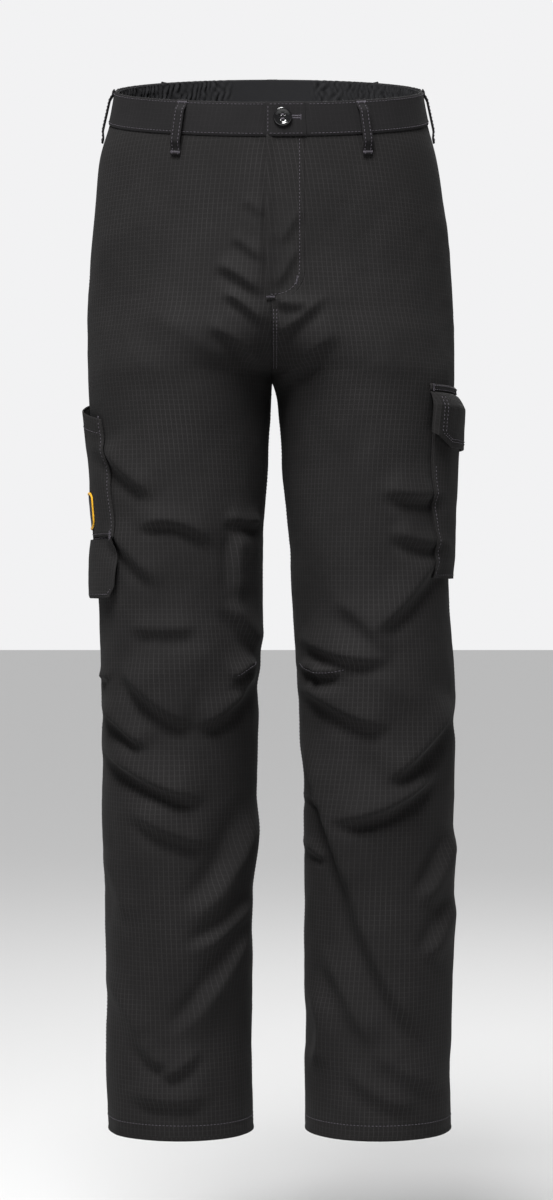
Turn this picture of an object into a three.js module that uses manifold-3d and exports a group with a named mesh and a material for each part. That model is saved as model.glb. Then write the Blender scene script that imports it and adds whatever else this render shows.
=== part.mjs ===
// Cargo work trousers: sewn panels, waistband, belt loops, fly with zip and button, a folding-rule
// pocket on the wearer's right thigh and a bellows cargo pocket on the left one.
// Millimetres, +Z up. The front faces -Y and the wearer's right leg is towards -X.
// The origin is the middle of the waist opening, level with its two sides.
import * as THREE from "three";
import { mergeVertices } from "three/addons/utils/BufferGeometryUtils.js";
import Module from "manifold-3d";

const wasm = await Module();
wasm.setup();

// ---- Driving dimensions -------------------------------------------------------------------------

const RIGHT = -1; // side signs: the wearer's right is at -X
const LEFT = 1;

const CLOTH = 2.2; // one sewn panel, seam bulk included
const GAP = 0.4; // between pieces that touch
const LAYER = 1.2; // between cloth layers that lie on each other round a curve

const RIM_SLOPE = 0.281; // the waist opening rises towards the back
const BAND_HEIGHT = 35;
const BAND_PROUD = 1; // how far the band stands out from the panels
const BAND_DEPTH = 3.5; // outer band and its facing, sewn together

const CROTCH_Z = -304;
const KNEE_Z = -620;
const HEM_Z = -1099;
const HEM_DEPTH = 26;

const KNEE_AXIS_AHEAD = 30; // of the leg's middle
const KNEE_HALF_WEDGE = THREE.MathUtils.degToRad(33); // half the notch behind each knee

// Outlines: [height, value] down the garment, from the middle of the body outwards.
const OUTER_EDGE = {
  [RIGHT]: smooth([[40, 160], [0, 165], [-34, 171], [-72, 182], [-115, 187], [-180, 192], [-300, 194],
    [-400, 189], [-500, 184], [-620, 181], [-850, 179], [HEM_Z, 174]]),
  [LEFT]: smooth([[40, 154], [0, 158], [-34, 164], [-72, 174], [-115, 181], [-180, 188], [-300, 192],
    [-400, 188], [-500, 187], [-620, 192], [-850, 191], [HEM_Z, 188]]),
};
const INSEAM = {
  [RIGHT]: smooth([[CROTCH_Z, 0], [CROTCH_Z - 26, 2], [-475, 8], [-620, 12], [-760, 16], [-870, 22],
    [HEM_Z, 20]]),
  [LEFT]: smooth([[CROTCH_Z, 0], [CROTCH_Z - 26, 7], [-420, 13], [-520, 20], [-620, 26], [-760, 32],
    [HEM_Z, 37]]),
};
// Share of a half section that reaches over the middle: 1 on the hips, 0 where the legs part.
const HIP_CLOSURE = smooth([[40, 1], [CROTCH_Z + 180, 1], [CROTCH_Z + 114, 1], [CROTCH_Z + 69, 0.78],
  [CROTCH_Z + 42, 0.45], [CROTCH_Z + 19, 0.17], [CROTCH_Z + 6, 0.035], [CROTCH_Z, 0]]);
const FRONT_DEPTH = smooth([[40, 112], [0, 113], [-60, 116], [-180, 121], [-260, 118], [-330, 106],
  [-450, 98], [-620, 90], [-850, 80], [HEM_Z, 74]]);
const BACK_DEPTH = smooth([[40, 117], [-34, 121], [-100, 130], [-180, 137], [-260, 130], [-330, 114],
  [-450, 102], [-620, 84], [-760, 89], [-850, 87], [HEM_Z, 73]]);
const MID_DEPTH = smooth([[40, 0], [-60, 0], [-180, 4], [-330, 2], [-620, -5], [-850, 4], [HEM_Z, 0]]);

const BUTTON = { x: 11.2, z: 19, radius: 9.6, thick: 3.4, lift: 1.6, hole: 0.8, spread: 2.1 };
const THREAD_RADIUS = 1.5;
const HOLE_TO_HINGE = 3.6; // from the buttonhole's end, a button's width from its thread
// x of the fly's left edge and of the line it folds on, its height and the radius of its J.
const FLY = {
  left: -5, hinge: BUTTON.x + 2 * BUTTON.radius + HOLE_TO_HINGE, length: -CROTCH_Z - 137, corner: 30,
};
const TAB_THICK = 3;
const PLACKET_THICK = 2;
const UNDERLAP = { left: -14, right: FLY.hinge + 2, depth: 6.6, thick: 2.2 };
const ZIP = {
  x: 13, top: -3, length: FLY.length - 7, teeth: 2.2, thick: 2.2, pitch: 4, stop: 2.6, depth: 5.3,
  tape: 11, tapeThick: 0.6,
};
const SLIDER = { length: 12, half: 4.6, plate: 1, post: 4.5 };
const PULL = { width: 6, length: 22, thick: 1.1 };
const SHIELD = { left: -16, right: FLY.hinge - 2, depth: 9.4, thick: 2 };

const LOOP = { width: 11, thick: 2, gap: 5.4, foot: 6, below: 21, frontX: 91, backShare: 1.5 };

const RULE = { // folding-rule pocket, wearer's right thigh
  front: 0.19, frontFlare: 0.06, back: 0.15, // edges, as shares of half a leg section from the outseam
  mouthFront: CROTCH_Z - 48, mouthBack: CROTCH_Z - 22, stitch: CROTCH_Z - 172, bottom: CROTCH_Z - 234,
  gape: 6, flare: 6, endThick: 4,
};
const BADGE = { width: 30, height: 38, thick: 1.6, corner: 6, z: RULE.stitch + 30 };
const CARGO = { // bellows pocket, wearer's left thigh
  front: 0.23, back: 0.31, mouth: CROTCH_Z - 33, bottom: CROTCH_Z - 213, depth: 8, wall: 2, bellows: 3,
};
const FLAP = {
  top: CARGO.mouth + 13, bottom: CARGO.mouth - 44, overhang: 0.03, thick: 2.4, clip: 14, rise: 14, band: 8,
};
const FASTENER = { share: 0.07, top: CARGO.mouth - 13, bottom: CARGO.mouth - 37, thick: 0.7 };
const BAG = { top: -100, bottom: CROTCH_Z + 19, from: 0.42, to: 0.97, inside: 1.8, thick: 1.4 };

// ---- Body surface -------------------------------------------------------------------------------

// A smooth curve through [height, value] points, level beyond its ends.
function smooth(points) {
  const order = [...points].sort((a, b) => a[0] - b[0]);
  const slope = order.map((p, i) => {
    const before = order[Math.max(i - 1, 0)];
    const after = order[Math.min(i + 1, order.length - 1)];
    return (after[1] - before[1]) / (after[0] - before[0]);
  });
  return (z) => {
    const here = THREE.MathUtils.clamp(z, order[0][0], order.at(-1)[0]);
    const i = Math.max(order.findIndex((p) => p[0] >= here), 1);
    const [z0, v0] = order[i - 1];
    const [z1, v1] = order[i];
    const span = z1 - z0;
    const t = (here - z0) / span;
    const rise = v1 - v0;
    const bow = t * (1 - t);
    return v0 + rise * t * t * (3 - 2 * t) + span * bow * (slope[i - 1] * (1 - t) - slope[i] * t);
  };
}

// A half body's section at one height: an ellipse from the inseam round the front to the outseam and
// back again, cut off at the middle plane above the crotch.
function section(side, z) {
  const outer = OUTER_EDGE[side](z);
  const inner = z > CROTCH_Z ? -outer * HIP_CLOSURE(z) : INSEAM[side](z);
  const centre = (outer + inner) / 2;
  const half = (outer - inner) / 2;
  const start = centre < half ? Math.acos(centre / half) : 0;
  return { centre, half, start, front: FRONT_DEPTH(z), back: BACK_DEPTH(z), mid: MID_DEPTH(z) };
}

// share: 0 at the centre-front seam or inseam, 1 at the outseam, 2 at the centre-back seam or inseam.
function skinPoint(side, share, z) {
  const s = section(side, z);
  const turn = share <= 1
    ? s.start + share * (Math.PI - s.start)
    : Math.PI + (share - 1) * (Math.PI - s.start);
  const depth = Math.sin(turn) > 0 ? s.front : s.back;
  const x = GAP / 2 + s.centre - s.half * Math.cos(turn);
  return new THREE.Vector3(side * x, s.mid - depth * Math.sin(turn), z);
}

function skinNormal(side, share, z) {
  const step = 0.004;
  const around = skinPoint(side, share + step, z).sub(skinPoint(side, share - step, z));
  const up = skinPoint(side, share, z + 2).sub(skinPoint(side, share, z - 2));
  return up.cross(around).normalize().multiplyScalar(-side);
}

function onSkin(side, share, z) {
  const held = THREE.MathUtils.clamp(share, 0.004, 1.996);
  return { point: skinPoint(side, share, z), normal: skinNormal(side, held, z) };
}

// The height that satisfies z = rule(y) on one line of the skin.
function heightWhere(side, share, rule, start) {
  let z = start;
  for (let i = 0; i < 6; i++) z = rule(skinPoint(side, share, z).y);
  return z;
}

// A line parallel to the waist opening, `drop` below it.
function belowRim(side, share, drop) {
  return heightWhere(side, share, (y) => RIM_SLOPE * y - drop, -drop);
}

// The edge of the notch behind a knee: way is 1 for the thigh's edge and -1 for the shin's.
function kneeEdge(side, share, way) {
  const axis = MID_DEPTH(KNEE_Z) - KNEE_AXIS_AHEAD;
  const rule = (y) => KNEE_Z + way * (Math.max(0, y - axis) * Math.tan(KNEE_HALF_WEDGE) + GAP / 2);
  return heightWhere(side, share, rule, KNEE_Z);
}

// The share at which the skin has a given x, counted from the middle of the body outwards.
function shareAtX(side, x, z, facing = 1) {
  const s = section(side, z);
  const turn = Math.acos(THREE.MathUtils.clamp((s.centre + GAP / 2 - x) / s.half, -1, 1));
  const share = (turn - s.start) / (Math.PI - s.start);
  return facing > 0 ? share : 2 - share;
}

// ---- Solids -------------------------------------------------------------------------------------

function range(from, to, steps) {
  return Array.from({ length: steps + 1 }, (_, i) => from + ((to - from) * i) / steps);
}

function bufferGeometry(points, triangles) {
  const geometry = new THREE.BufferGeometry();
  geometry.setAttribute("position", new THREE.Float32BufferAttribute(points, 3));
  geometry.setIndex(triangles);
  return geometry;
}

function signedVolume(points, triangles) {
  const corner = (i) => new THREE.Vector3().fromArray(points, 3 * i);
  let sum = 0;
  for (let i = 0; i < triangles.length; i += 3) {
    sum += corner(triangles[i]).dot(corner(triangles[i + 1]).cross(corner(triangles[i + 2])));
  }
  return sum / 6;
}

// A closed sheet of cloth. at(column, row) gives a point and normal of the surface that it follows,
// and inner and outer are its two faces' distances from that surface, fixed or by column and row.
function sheet({ columns, rows, at, inner, outer }) {
  const value = (v, c, r) => (typeof v === "function" ? v(c, r) : v);
  const points = [];
  for (const face of [outer, inner]) {
    for (const r of rows) {
      for (const c of columns) {
        const { point, normal } = at(c, r);
        points.push(...point.clone().addScaledVector(normal, value(face, c, r)).toArray());
      }
    }
  }
  const wide = columns.length;
  const layer = wide * rows.length;
  const triangles = [];
  const quad = (a, b, c, d) => triangles.push(a, b, c, a, c, d);
  for (let r = 0; r + 1 < rows.length; r++) {
    for (let c = 0; c + 1 < wide; c++) {
      const k = r * wide + c;
      quad(k, k + 1, k + wide + 1, k + wide);
      quad(layer + k, layer + k + wide, layer + k + wide + 1, layer + k + 1);
    }
    const first = r * wide;
    const last = first + wide - 1;
    quad(first, first + wide, layer + first + wide, layer + first);
    quad(last, layer + last, layer + last + wide, last + wide);
  }
  for (let c = 0; c + 1 < wide; c++) {
    const top = (rows.length - 1) * wide + c;
    quad(c, layer + c, layer + c + 1, c + 1);
    quad(top, top + 1, layer + top + 1, layer + top);
  }
  if (signedVolume(points, triangles) < 0) {
    for (let i = 0; i < triangles.length; i += 3) {
      [triangles[i + 1], triangles[i + 2]] = [triangles[i + 2], triangles[i + 1]];
    }
  }
  return bufferGeometry(points, triangles);
}

function solid(geometry) {
  const bare = geometry.clone();
  bare.deleteAttribute("normal");
  bare.deleteAttribute("uv");
  const merged = mergeVertices(bare, 1e-4);
  const mesh = new wasm.Mesh({
    numProp: 3,
    vertProperties: new Float32Array(merged.attributes.position.array),
    triVerts: new Uint32Array(merged.index.array),
  });
  return new wasm.Manifold(mesh);
}

function fromSolid(manifold) {
  const mesh = manifold.getMesh();
  return bufferGeometry(Array.from(mesh.vertProperties), Array.from(mesh.triVerts));
}

function cut(geometry, ...tools) {
  return fromSolid(tools.reduce((left, tool) => left.subtract(solid(tool)), solid(geometry)));
}

function join(...pieces) {
  return fromSolid(pieces.map(solid).reduce((all, piece) => all.add(piece)));
}

// A box between two corners.
function block(low, high) {
  const size = high.map((v, i) => v - low[i]);
  return new THREE.BoxGeometry(...size).translate(...low.map((v, i) => v + size[i] / 2));
}

// An outline in x and z, given thickness from y = front to y = back.
function plate(shape, front, back, segments = 6) {
  const settings = { depth: back - front, bevelEnabled: false, curveSegments: segments };
  return new THREE.ExtrudeGeometry(shape, settings)
    .rotateX(Math.PI / 2)
    .translate(0, back, 0);
}

function roundedRectangle(width, height, corner) {
  const shape = new THREE.Shape();
  const x = width / 2;
  const z = height / 2;
  shape.absarc(x - corner, z - corner, corner, 0, Math.PI / 2);
  shape.absarc(corner - x, z - corner, corner, Math.PI / 2, Math.PI);
  shape.absarc(corner - x, corner - z, corner, Math.PI, 1.5 * Math.PI);
  shape.absarc(x - corner, corner - z, corner, 1.5 * Math.PI, 2 * Math.PI);
  return shape;
}

// ---- Materials and assembly ---------------------------------------------------------------------

const MATERIALS = {
  ripstop: { color: 0x2f2e2e, roughness: 0.9 },
  lining: { color: 0x242425, roughness: 0.92 },
  elastic: { color: 0x202022, roughness: 0.85 },
  thread: { color: 0x4a474c, roughness: 0.8 },
  button: { color: 0x0b0b0c, roughness: 0.18 },
  zipMetal: { color: 0x5c564a, roughness: 0.35, metalness: 1 },
  tape: { color: 0x1d1d1f, roughness: 0.9 },
  amber: { color: 0xd9a429, roughness: 0.7 },
  hook: { color: 0x1a1a1b, roughness: 0.95 },
};

const trousers = new THREE.Group();
const flyFrame = new THREE.Group(); // origin on the waist seam at centre front, +Y into the garment
trousers.add(flyFrame);

function add(name, geometry, material, parent = trousers) {
  const mesh = new THREE.Mesh(geometry, new THREE.MeshStandardMaterial(MATERIALS[material]));
  mesh.name = name;
  parent.add(mesh);
  return mesh;
}

const SIDES = [["right", RIGHT], ["left", LEFT]];
const SEAM = 0.0016; // share of a section left open at each seam

// ---- Panels -------------------------------------------------------------------------------------

// Rows crowd at the crotch: 1 is the waist seam, 0 the crotch and -1 the knee.
const THIGH_ROWS = [1, 0.8, 0.6, 0.42, 0.28, 0.17, 0.08, 0.025, 0, -0.06, -0.16, -0.32, -0.55, -0.78, -1];

function thighHeight(side, share, row) {
  const end = row >= 0
    ? belowRim(side, share, BAND_HEIGHT + GAP)
    : kneeEdge(side, share, 1);
  return CROTCH_Z + Math.abs(row) * (end - CROTCH_Z);
}

function thighPanel(side, from, to, columns) {
  return sheet({
    columns: range(from + SEAM, to - SEAM, columns),
    rows: THIGH_ROWS,
    at: (share, row) => onSkin(side, share, thighHeight(side, share, row)),
    inner: -CLOTH,
    outer: 0,
  });
}

function shinPanel(side, from, to, columns) {
  return sheet({
    columns: range(from + SEAM, to - SEAM, columns),
    rows: range(0, 1, 8),
    at: (share, row) => {
      const top = kneeEdge(side, share, -1);
      return onSkin(side, share, top + row * (HEM_Z - top));
    },
    inner: -CLOTH,
    outer: 0,
  });
}

// The cloth that folds behind the knee: it fills the notch from the outer side to the inner side.
function kneeFold(side) {
  const axis = KNEE_AXIS_AHEAD / FRONT_DEPTH(KNEE_Z);
  const ahead = Math.asin(axis) / Math.PI - 0.02;
  return sheet({
    columns: range(1 - ahead, 2 + ahead, 18),
    rows: range(0, 1, 4),
    at: (share, row) => {
      const turned = share > 2 ? share - 2 : share;
      const low = kneeEdge(side, turned, -1) + LAYER;
      const high = kneeEdge(side, turned, 1) - LAYER;
      return onSkin(side, turned, low + row * (high - low));
    },
    inner: -CLOTH,
    outer: 0,
  });
}

function hem(side) {
  return sheet({
    columns: range(SEAM, 2 - SEAM, 32),
    rows: [HEM_Z, HEM_Z + HEM_DEPTH],
    at: (share, z) => onSkin(side, share, z),
    inner: -CLOTH - LAYER - GAP - CLOTH,
    outer: -CLOTH - LAYER - GAP,
  });
}

// ---- Fly frame ----------------------------------------------------------------------------------

// The fly is flat: it runs from the waist seam down, level with the skin a little beside its middle.
function placeFlyFrame() {
  const beside = 20;
  const at = (z) => skinPoint(LEFT, shareAtX(LEFT, beside, z), z);
  const top = at(-RIM_SLOPE * FRONT_DEPTH(0) - BAND_HEIGHT);
  const bottom = at(top.z - FLY.length);
  flyFrame.position.set(0, top.y, top.z);
  flyFrame.rotation.x = Math.atan2(bottom.y - top.y, top.z - bottom.z);
  flyFrame.updateMatrixWorld(true);
}

function flyOutline(clearance, top) {
  const left = FLY.left - clearance;
  const right = FLY.hinge + clearance;
  const corner = FLY.corner + clearance;
  const bottom = -FLY.length - clearance;
  const shape = new THREE.Shape();
  shape.moveTo(left, top);
  shape.lineTo(left, bottom);
  shape.absarc(right - corner, bottom + corner, corner, 1.5 * Math.PI, 2 * Math.PI);
  shape.lineTo(right, top);
  return shape;
}

function flyWindow() {
  return plate(flyOutline(GAP, BAND_HEIGHT), -30, 30).applyMatrix4(flyFrame.matrixWorld);
}

function waistTab() {
  const shape = new THREE.Shape();
  shape.moveTo(FLY.left - GAP, GAP);
  shape.lineTo(FLY.hinge, GAP);
  shape.lineTo(FLY.hinge, BAND_HEIGHT);
  shape.lineTo(FLY.left - GAP, BAND_HEIGHT);
  const hole = new THREE.Path();
  const half = THREAD_RADIUS + GAP;
  const end = FLY.hinge - HOLE_TO_HINGE;
  hole.absarc(BUTTON.x, BUTTON.z, half, Math.PI / 2, 1.5 * Math.PI);
  hole.absarc(end, BUTTON.z, half, -Math.PI / 2, Math.PI / 2);
  shape.holes.push(hole);
  return plate(shape, -BAND_PROUD, TAB_THICK - BAND_PROUD);
}

function waistButton() {
  const { radius, thick, lift } = BUTTON;
  const outline = [[0, 0], [radius - 1.2, 0], [radius, 0.9], [radius, thick - 1], [radius - 1, thick],
    [radius - 2, thick], [radius - 3.4, thick - 1.2], [0, thick - 1.4]];
  const disc = new THREE.LatheGeometry(outline.map(([r, h]) => new THREE.Vector2(r, h)), 28);
  disc.rotateX(Math.PI).translate(0, -BAND_PROUD - lift, 0);
  const holes = [0, 1, 2, 3].map((i) => {
    const turn = Math.PI / 4 + (i * Math.PI) / 2;
    return new THREE.CylinderGeometry(BUTTON.hole, BUTTON.hole, 4 * thick, 8)
      .translate(BUTTON.spread * Math.cos(turn), 0, BUTTON.spread * Math.sin(turn));
  });
  return cut(disc, ...holes).translate(BUTTON.x, 0, BUTTON.z);
}

function buttonThread() {
  const from = -BAND_PROUD - BUTTON.lift + GAP;
  const to = UNDERLAP.depth - GAP;
  return new THREE.CylinderGeometry(THREAD_RADIUS, THREAD_RADIUS, to - from, 12)
    .translate(BUTTON.x, (from + to) / 2, BUTTON.z);
}

function zipTape(way) {
  const near = ZIP.x + way * (ZIP.teeth + GAP);
  const far = near + way * ZIP.tape;
  const middle = ZIP.depth + ZIP.thick / 2;
  return block(
    [Math.min(near, far), middle - ZIP.tapeThick / 2, ZIP.top - ZIP.length],
    [Math.max(near, far), middle + ZIP.tapeThick / 2, ZIP.top],
  );
}

const CHAIN_TOP = ZIP.top - SLIDER.post - 2 * GAP;
const CHAIN_TEETH = Math.floor((ZIP.length - SLIDER.post - 8) / ZIP.pitch);

// One side's row of teeth, joined by the cord that they grip.
function zipTeeth(way) {
  const at = (inner, outer) => [ZIP.x + way * inner, ZIP.x + way * outer].sort((a, b) => a - b);
  const box = ([x0, x1], low, high, inset) =>
    block([x0, ZIP.depth + inset, low], [x1, ZIP.depth + ZIP.thick - inset, high]);
  const cord = box(at(ZIP.teeth / 2, ZIP.teeth), CHAIN_TOP - CHAIN_TEETH * ZIP.pitch, CHAIN_TOP, 0.3);
  const teeth = range(0, CHAIN_TEETH - 1, CHAIN_TEETH - 1).map((i) => {
    const start = CHAIN_TOP - (i + (way > 0 ? 0 : 0.5)) * ZIP.pitch;
    return box(at(GAP / 2, ZIP.teeth), start - ZIP.pitch * 0.4, start, 0);
  });
  return join(cord, ...teeth);
}

function zipBottomStop() {
  const top = CHAIN_TOP - CHAIN_TEETH * ZIP.pitch - ZIP.pitch / 2 - GAP;
  return block(
    [ZIP.x - ZIP.teeth, ZIP.depth, top - ZIP.stop],
    [ZIP.x + ZIP.teeth, ZIP.depth + ZIP.thick, top],
  );
}

// Two plates that the teeth run between, the post that parts them and the bridge for the pull.
function zipSlider() {
  const { half, length, plate: thick, post } = SLIDER;
  const front = ZIP.depth - GAP;
  const back = ZIP.depth + ZIP.thick + GAP;
  const low = ZIP.top - length;
  const box = (x0, y0, z0, x1, y1, z1) => block([ZIP.x + x0, y0, z0], [ZIP.x + x1, y1, z1]);
  return join(
    box(-half, front - thick, low, half, front, ZIP.top),
    box(-half, back, low, half, back + thick, ZIP.top),
    box(-1.2, front - 0.5, ZIP.top - post, 1.2, back + 0.5, ZIP.top - 0.3),
    box(-1, front - thick - 1.5, low + 3, 1, front - thick + 0.3, low + 4.2),
  );
}

function zipPull() {
  const shape = roundedRectangle(PULL.width, PULL.length, 2);
  const hole = new THREE.Path();
  hole.absarc(0, PULL.length / 2 - 2.4, 1.7, 0, 2 * Math.PI);
  shape.holes.push(hole);
  const back = ZIP.depth - GAP - SLIDER.plate - GAP;
  const top = ZIP.top - SLIDER.length + 6;
  return plate(shape, back - PULL.thick, back).translate(ZIP.x, 0, top - PULL.length / 2);
}

function buildFly() {
  placeFlyFrame();
  add("waistband_overlap", waistTab(), "ripstop", flyFrame);
  const placket = plate(flyOutline(0, -GAP), 0, PLACKET_THICK);
  add("fly_placket", placket, "ripstop", flyFrame);
  const underlap = block(
    [UNDERLAP.left, UNDERLAP.depth, GAP],
    [UNDERLAP.right, UNDERLAP.depth + UNDERLAP.thick, BAND_HEIGHT],
  );
  add("waistband_underlap", underlap, "ripstop", flyFrame);
  add("waist_button", waistButton(), "button", flyFrame);
  add("button_thread", buttonThread(), "thread", flyFrame);
  const shield = block(
    [SHIELD.left, SHIELD.depth, -FLY.length + 4],
    [SHIELD.right, SHIELD.depth + SHIELD.thick, -GAP],
  );
  add("fly_shield", shield, "lining", flyFrame);
  for (const [name, way] of SIDES) {
    add(`zip_tape_${name}`, zipTape(way), "tape", flyFrame);
    add(`zip_teeth_${name}`, zipTeeth(way), "zipMetal", flyFrame);
  }
  add("zip_bottom_stop", zipBottomStop(), "zipMetal", flyFrame);
  add("zip_slider", zipSlider(), "zipMetal", flyFrame);
  add("zip_pull", zipPull(), "zipMetal", flyFrame);
}

function buildPanels() {
  const window = flyWindow();
  for (const [name, side] of SIDES) {
    add(`front_panel_${name}`, cut(thighPanel(side, 0, 1, 10), window), "ripstop");
    add(`back_panel_${name}`, thighPanel(side, 1, 2, 10), "ripstop");
    add(`shin_front_${name}`, shinPanel(side, 0, 1, 10), "ripstop");
    add(`shin_back_${name}`, shinPanel(side, 1, 2, 10), "ripstop");
    add(`knee_fold_${name}`, kneeFold(side), "ripstop");
    add(`hem_${name}`, hem(side), "ripstop");
  }
}

// ---- Waistband ----------------------------------------------------------------------------------

function bandSheet(side, columns, shareOf, inner, outer, margin = 0) {
  return sheet({
    columns,
    rows: [margin, BAND_HEIGHT / 2, BAND_HEIGHT - margin],
    at: (across, drop) => {
      const share = shareOf(across, drop);
      return onSkin(side, share, belowRim(side, share, drop));
    },
    inner,
    outer,
  });
}

// A front half of the band, from a given x beside the fly to the outseam.
function frontBand(side, startX) {
  const shareOf = (across, drop) => {
    const start = shareAtX(side, startX, -RIM_SLOPE * FRONT_DEPTH(0) - drop);
    return start + across * (1 - SEAM - start);
  };
  return bandSheet(side, range(0, 1, 10), shareOf, BAND_PROUD - BAND_DEPTH, BAND_PROUD);
}

// One piece across the centre back: 0 and 2 are the two side seams, and 1 is the centre back.
function acrossBack(inner, outer) {
  return sheet({
    columns: range(SEAM, 2 - SEAM, 28),
    rows: [0, BAND_HEIGHT / 2, BAND_HEIGHT],
    at: (way, drop) => {
      const side = way <= 1 ? RIGHT : LEFT;
      const share = way <= 1 ? 1 + way : 3 - way;
      return onSkin(side, share, belowRim(side, share, drop));
    },
    inner,
    outer,
  });
}

function buildWaistband() {
  const wall = 1.8;
  const elasticFace = BAND_PROUD - wall - GAP - 0.2;
  const facing = elasticFace - wall - GAP - 0.2;
  const frontStart = { [RIGHT]: -FLY.left + 2.5 * GAP, [LEFT]: FLY.hinge + 1.5 * GAP };
  for (const [name, side] of SIDES) {
    add(`waistband_front_${name}`, frontBand(side, frontStart[side]), "ripstop");
    const shares = range(1.04, 1.8, 10);
    const elastic = bandSheet(side, shares, (share) => share, elasticFace - wall, elasticFace, 2);
    add(`waist_elastic_${name}`, elastic, "elastic");
  }
  add("waistband_back", acrossBack(BAND_PROUD - wall, BAND_PROUD), "ripstop");
  add("waistband_facing", acrossBack(facing - wall, facing), "lining");
}

// ---- Belt loops ---------------------------------------------------------------------------------

// Places a loop so that its back follows the line from the rim to the loop's lower end.
function placeLoop(name, side, share) {
  const top = onSkin(side, share, belowRim(side, share, 0));
  const bottom = onSkin(side, share, belowRim(side, share, BAND_HEIGHT + LOOP.below));
  const up = top.point.clone().sub(bottom.point);
  const height = up.length();
  up.normalize();
  const outward = top.normal.clone().add(bottom.normal).normalize();
  const across = up.clone().cross(outward).normalize();
  const away = across.clone().cross(up).normalize();
  const turned = new THREE.Matrix4().makeBasis(across, away.clone().negate(), up);
  const mesh = add(name, loopSolid(height), "ripstop");
  mesh.applyMatrix4(turned);
  mesh.position.copy(top.point).addScaledVector(away, BAND_PROUD + LAYER);
}

// A strip that stands off the band, sewn down by a foot at each end. Its own frame has x across it,
// -y outwards and z up, with its upper end at the origin.
function loopSolid(height) {
  const { thick, gap, foot, width } = LOOP;
  const outline = [[0, 0], [0, -foot], [gap, -foot - gap], [gap, foot + gap - height], [0, foot - height],
    [0, -height], [thick, -height], [gap + thick, foot - height], [gap + thick, -foot], [thick, 0]];
  const shape = new THREE.Shape(outline.map(([depth, z]) => new THREE.Vector2(depth, z)));
  const strip = new THREE.ExtrudeGeometry(shape, { depth: width, bevelEnabled: false });
  const basis = new THREE.Matrix4().makeBasis(
    new THREE.Vector3(0, -1, 0), new THREE.Vector3(0, 0, 1), new THREE.Vector3(-1, 0, 0),
  );
  return strip.translate(0, 0, -width / 2).applyMatrix4(basis);
}

function buildLoops() {
  for (const [name, side] of SIDES) {
    const frontShare = shareAtX(side, LOOP.frontX, -RIM_SLOPE * FRONT_DEPTH(0));
    placeLoop(`belt_loop_front_${name}`, side, frontShare);
    placeLoop(`belt_loop_side_${name}`, side, 1);
    placeLoop(`belt_loop_back_${name}`, side, LOOP.backShare);
  }
  placeLoop("belt_loop_back_centre", LEFT, 2);
}

// ---- Pockets ------------------------------------------------------------------------------------

// 0 at a patch's two edges and 1 over most of its middle.
function crown(t) {
  return Math.sin(Math.PI * THREE.MathUtils.clamp(t, 0, 1)) ** 0.6;
}

// Front and back edges of the folding-rule pocket: it widens towards its stitched lower end.
function ruleShare(across, z) {
  const down = (RULE.mouthFront - z) / (RULE.mouthFront - RULE.stitch);
  const front = 1 - RULE.front - RULE.frontFlare * THREE.MathUtils.clamp(down, 0, 1.1);
  return front + across * (1 + RULE.back - front);
}

function ruleWall() {
  const mouth = (across) => RULE.mouthFront + across * (RULE.mouthBack - RULE.mouthFront);
  const height = (across, row) => mouth(across) + row * (RULE.stitch + GAP - mouth(across));
  const bulge = (across, row) => LAYER + RULE.gape * crown(across) * (1 - row) ** 0.7;
  return sheet({
    columns: range(0, 1, 10),
    rows: range(0, 1, 6),
    at: (across, row) => {
      const z = height(across, row);
      return onSkin(RIGHT, ruleShare(across, z), z);
    },
    inner: bulge,
    outer: (across, row) => bulge(across, row) + CLOTH,
  });
}

// The pocket's lower end hangs free of the leg and stands a little away from it.
function ruleEnd() {
  const inner = (across, row) => LAYER + RULE.flare * row;
  return sheet({
    columns: range(0, 1, 10),
    rows: range(0, 1, 3),
    at: (across, row) => {
      const z = RULE.stitch - GAP + row * (RULE.bottom - RULE.stitch + GAP);
      return onSkin(RIGHT, ruleShare(across, z), z);
    },
    inner,
    outer: (across, row) => inner(across, row) + RULE.endThick,
  });
}

function badge() {
  const { point } = onSkin(RIGHT, 1, BADGE.z);
  const down = (RULE.mouthFront - BADGE.z) / (RULE.mouthFront - RULE.stitch);
  const proud = LAYER + RULE.gape * (1 - down) ** 0.7 + CLOTH + 2 * LAYER;
  const mesh = add("badge_patch", plate(roundedRectangle(BADGE.width, BADGE.height, BADGE.corner),
    -BADGE.thick, 0), "amber");
  mesh.rotation.z = -Math.PI / 2;
  mesh.position.set(point.x - proud, point.y, BADGE.z);
}

function cargoSheet(from, to, rows, inner, outer, columns = 14) {
  return sheet({
    columns: range(from, to, columns),
    rows,
    at: (share, z) => onSkin(LEFT, share, z),
    inner,
    outer,
  });
}

function cargoPocket() {
  const from = 1 - CARGO.front;
  const to = 1 + CARGO.back;
  const rows = range(CARGO.mouth, CARGO.bottom, 8);
  const face = cargoSheet(from, to, rows, CARGO.depth + GAP, CARGO.depth + GAP + CARGO.wall);
  const inset = CARGO.bellows / 150;
  const walls = cut(
    cargoSheet(from, to, rows, LAYER, CARGO.depth),
    cargoSheet(from + inset, to - inset, range(CARGO.mouth + 5, CARGO.bottom + CARGO.bellows, 8),
      LAYER - 3, CARGO.depth + 3),
  );
  return { face, walls };
}

// How far the flap's inner face stands from the leg: the pocket and both fastener strips lie under it.
function flapLift() {
  return CARGO.depth + GAP + CARGO.wall + 2 * (GAP + FASTENER.thick) + GAP;
}

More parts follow.
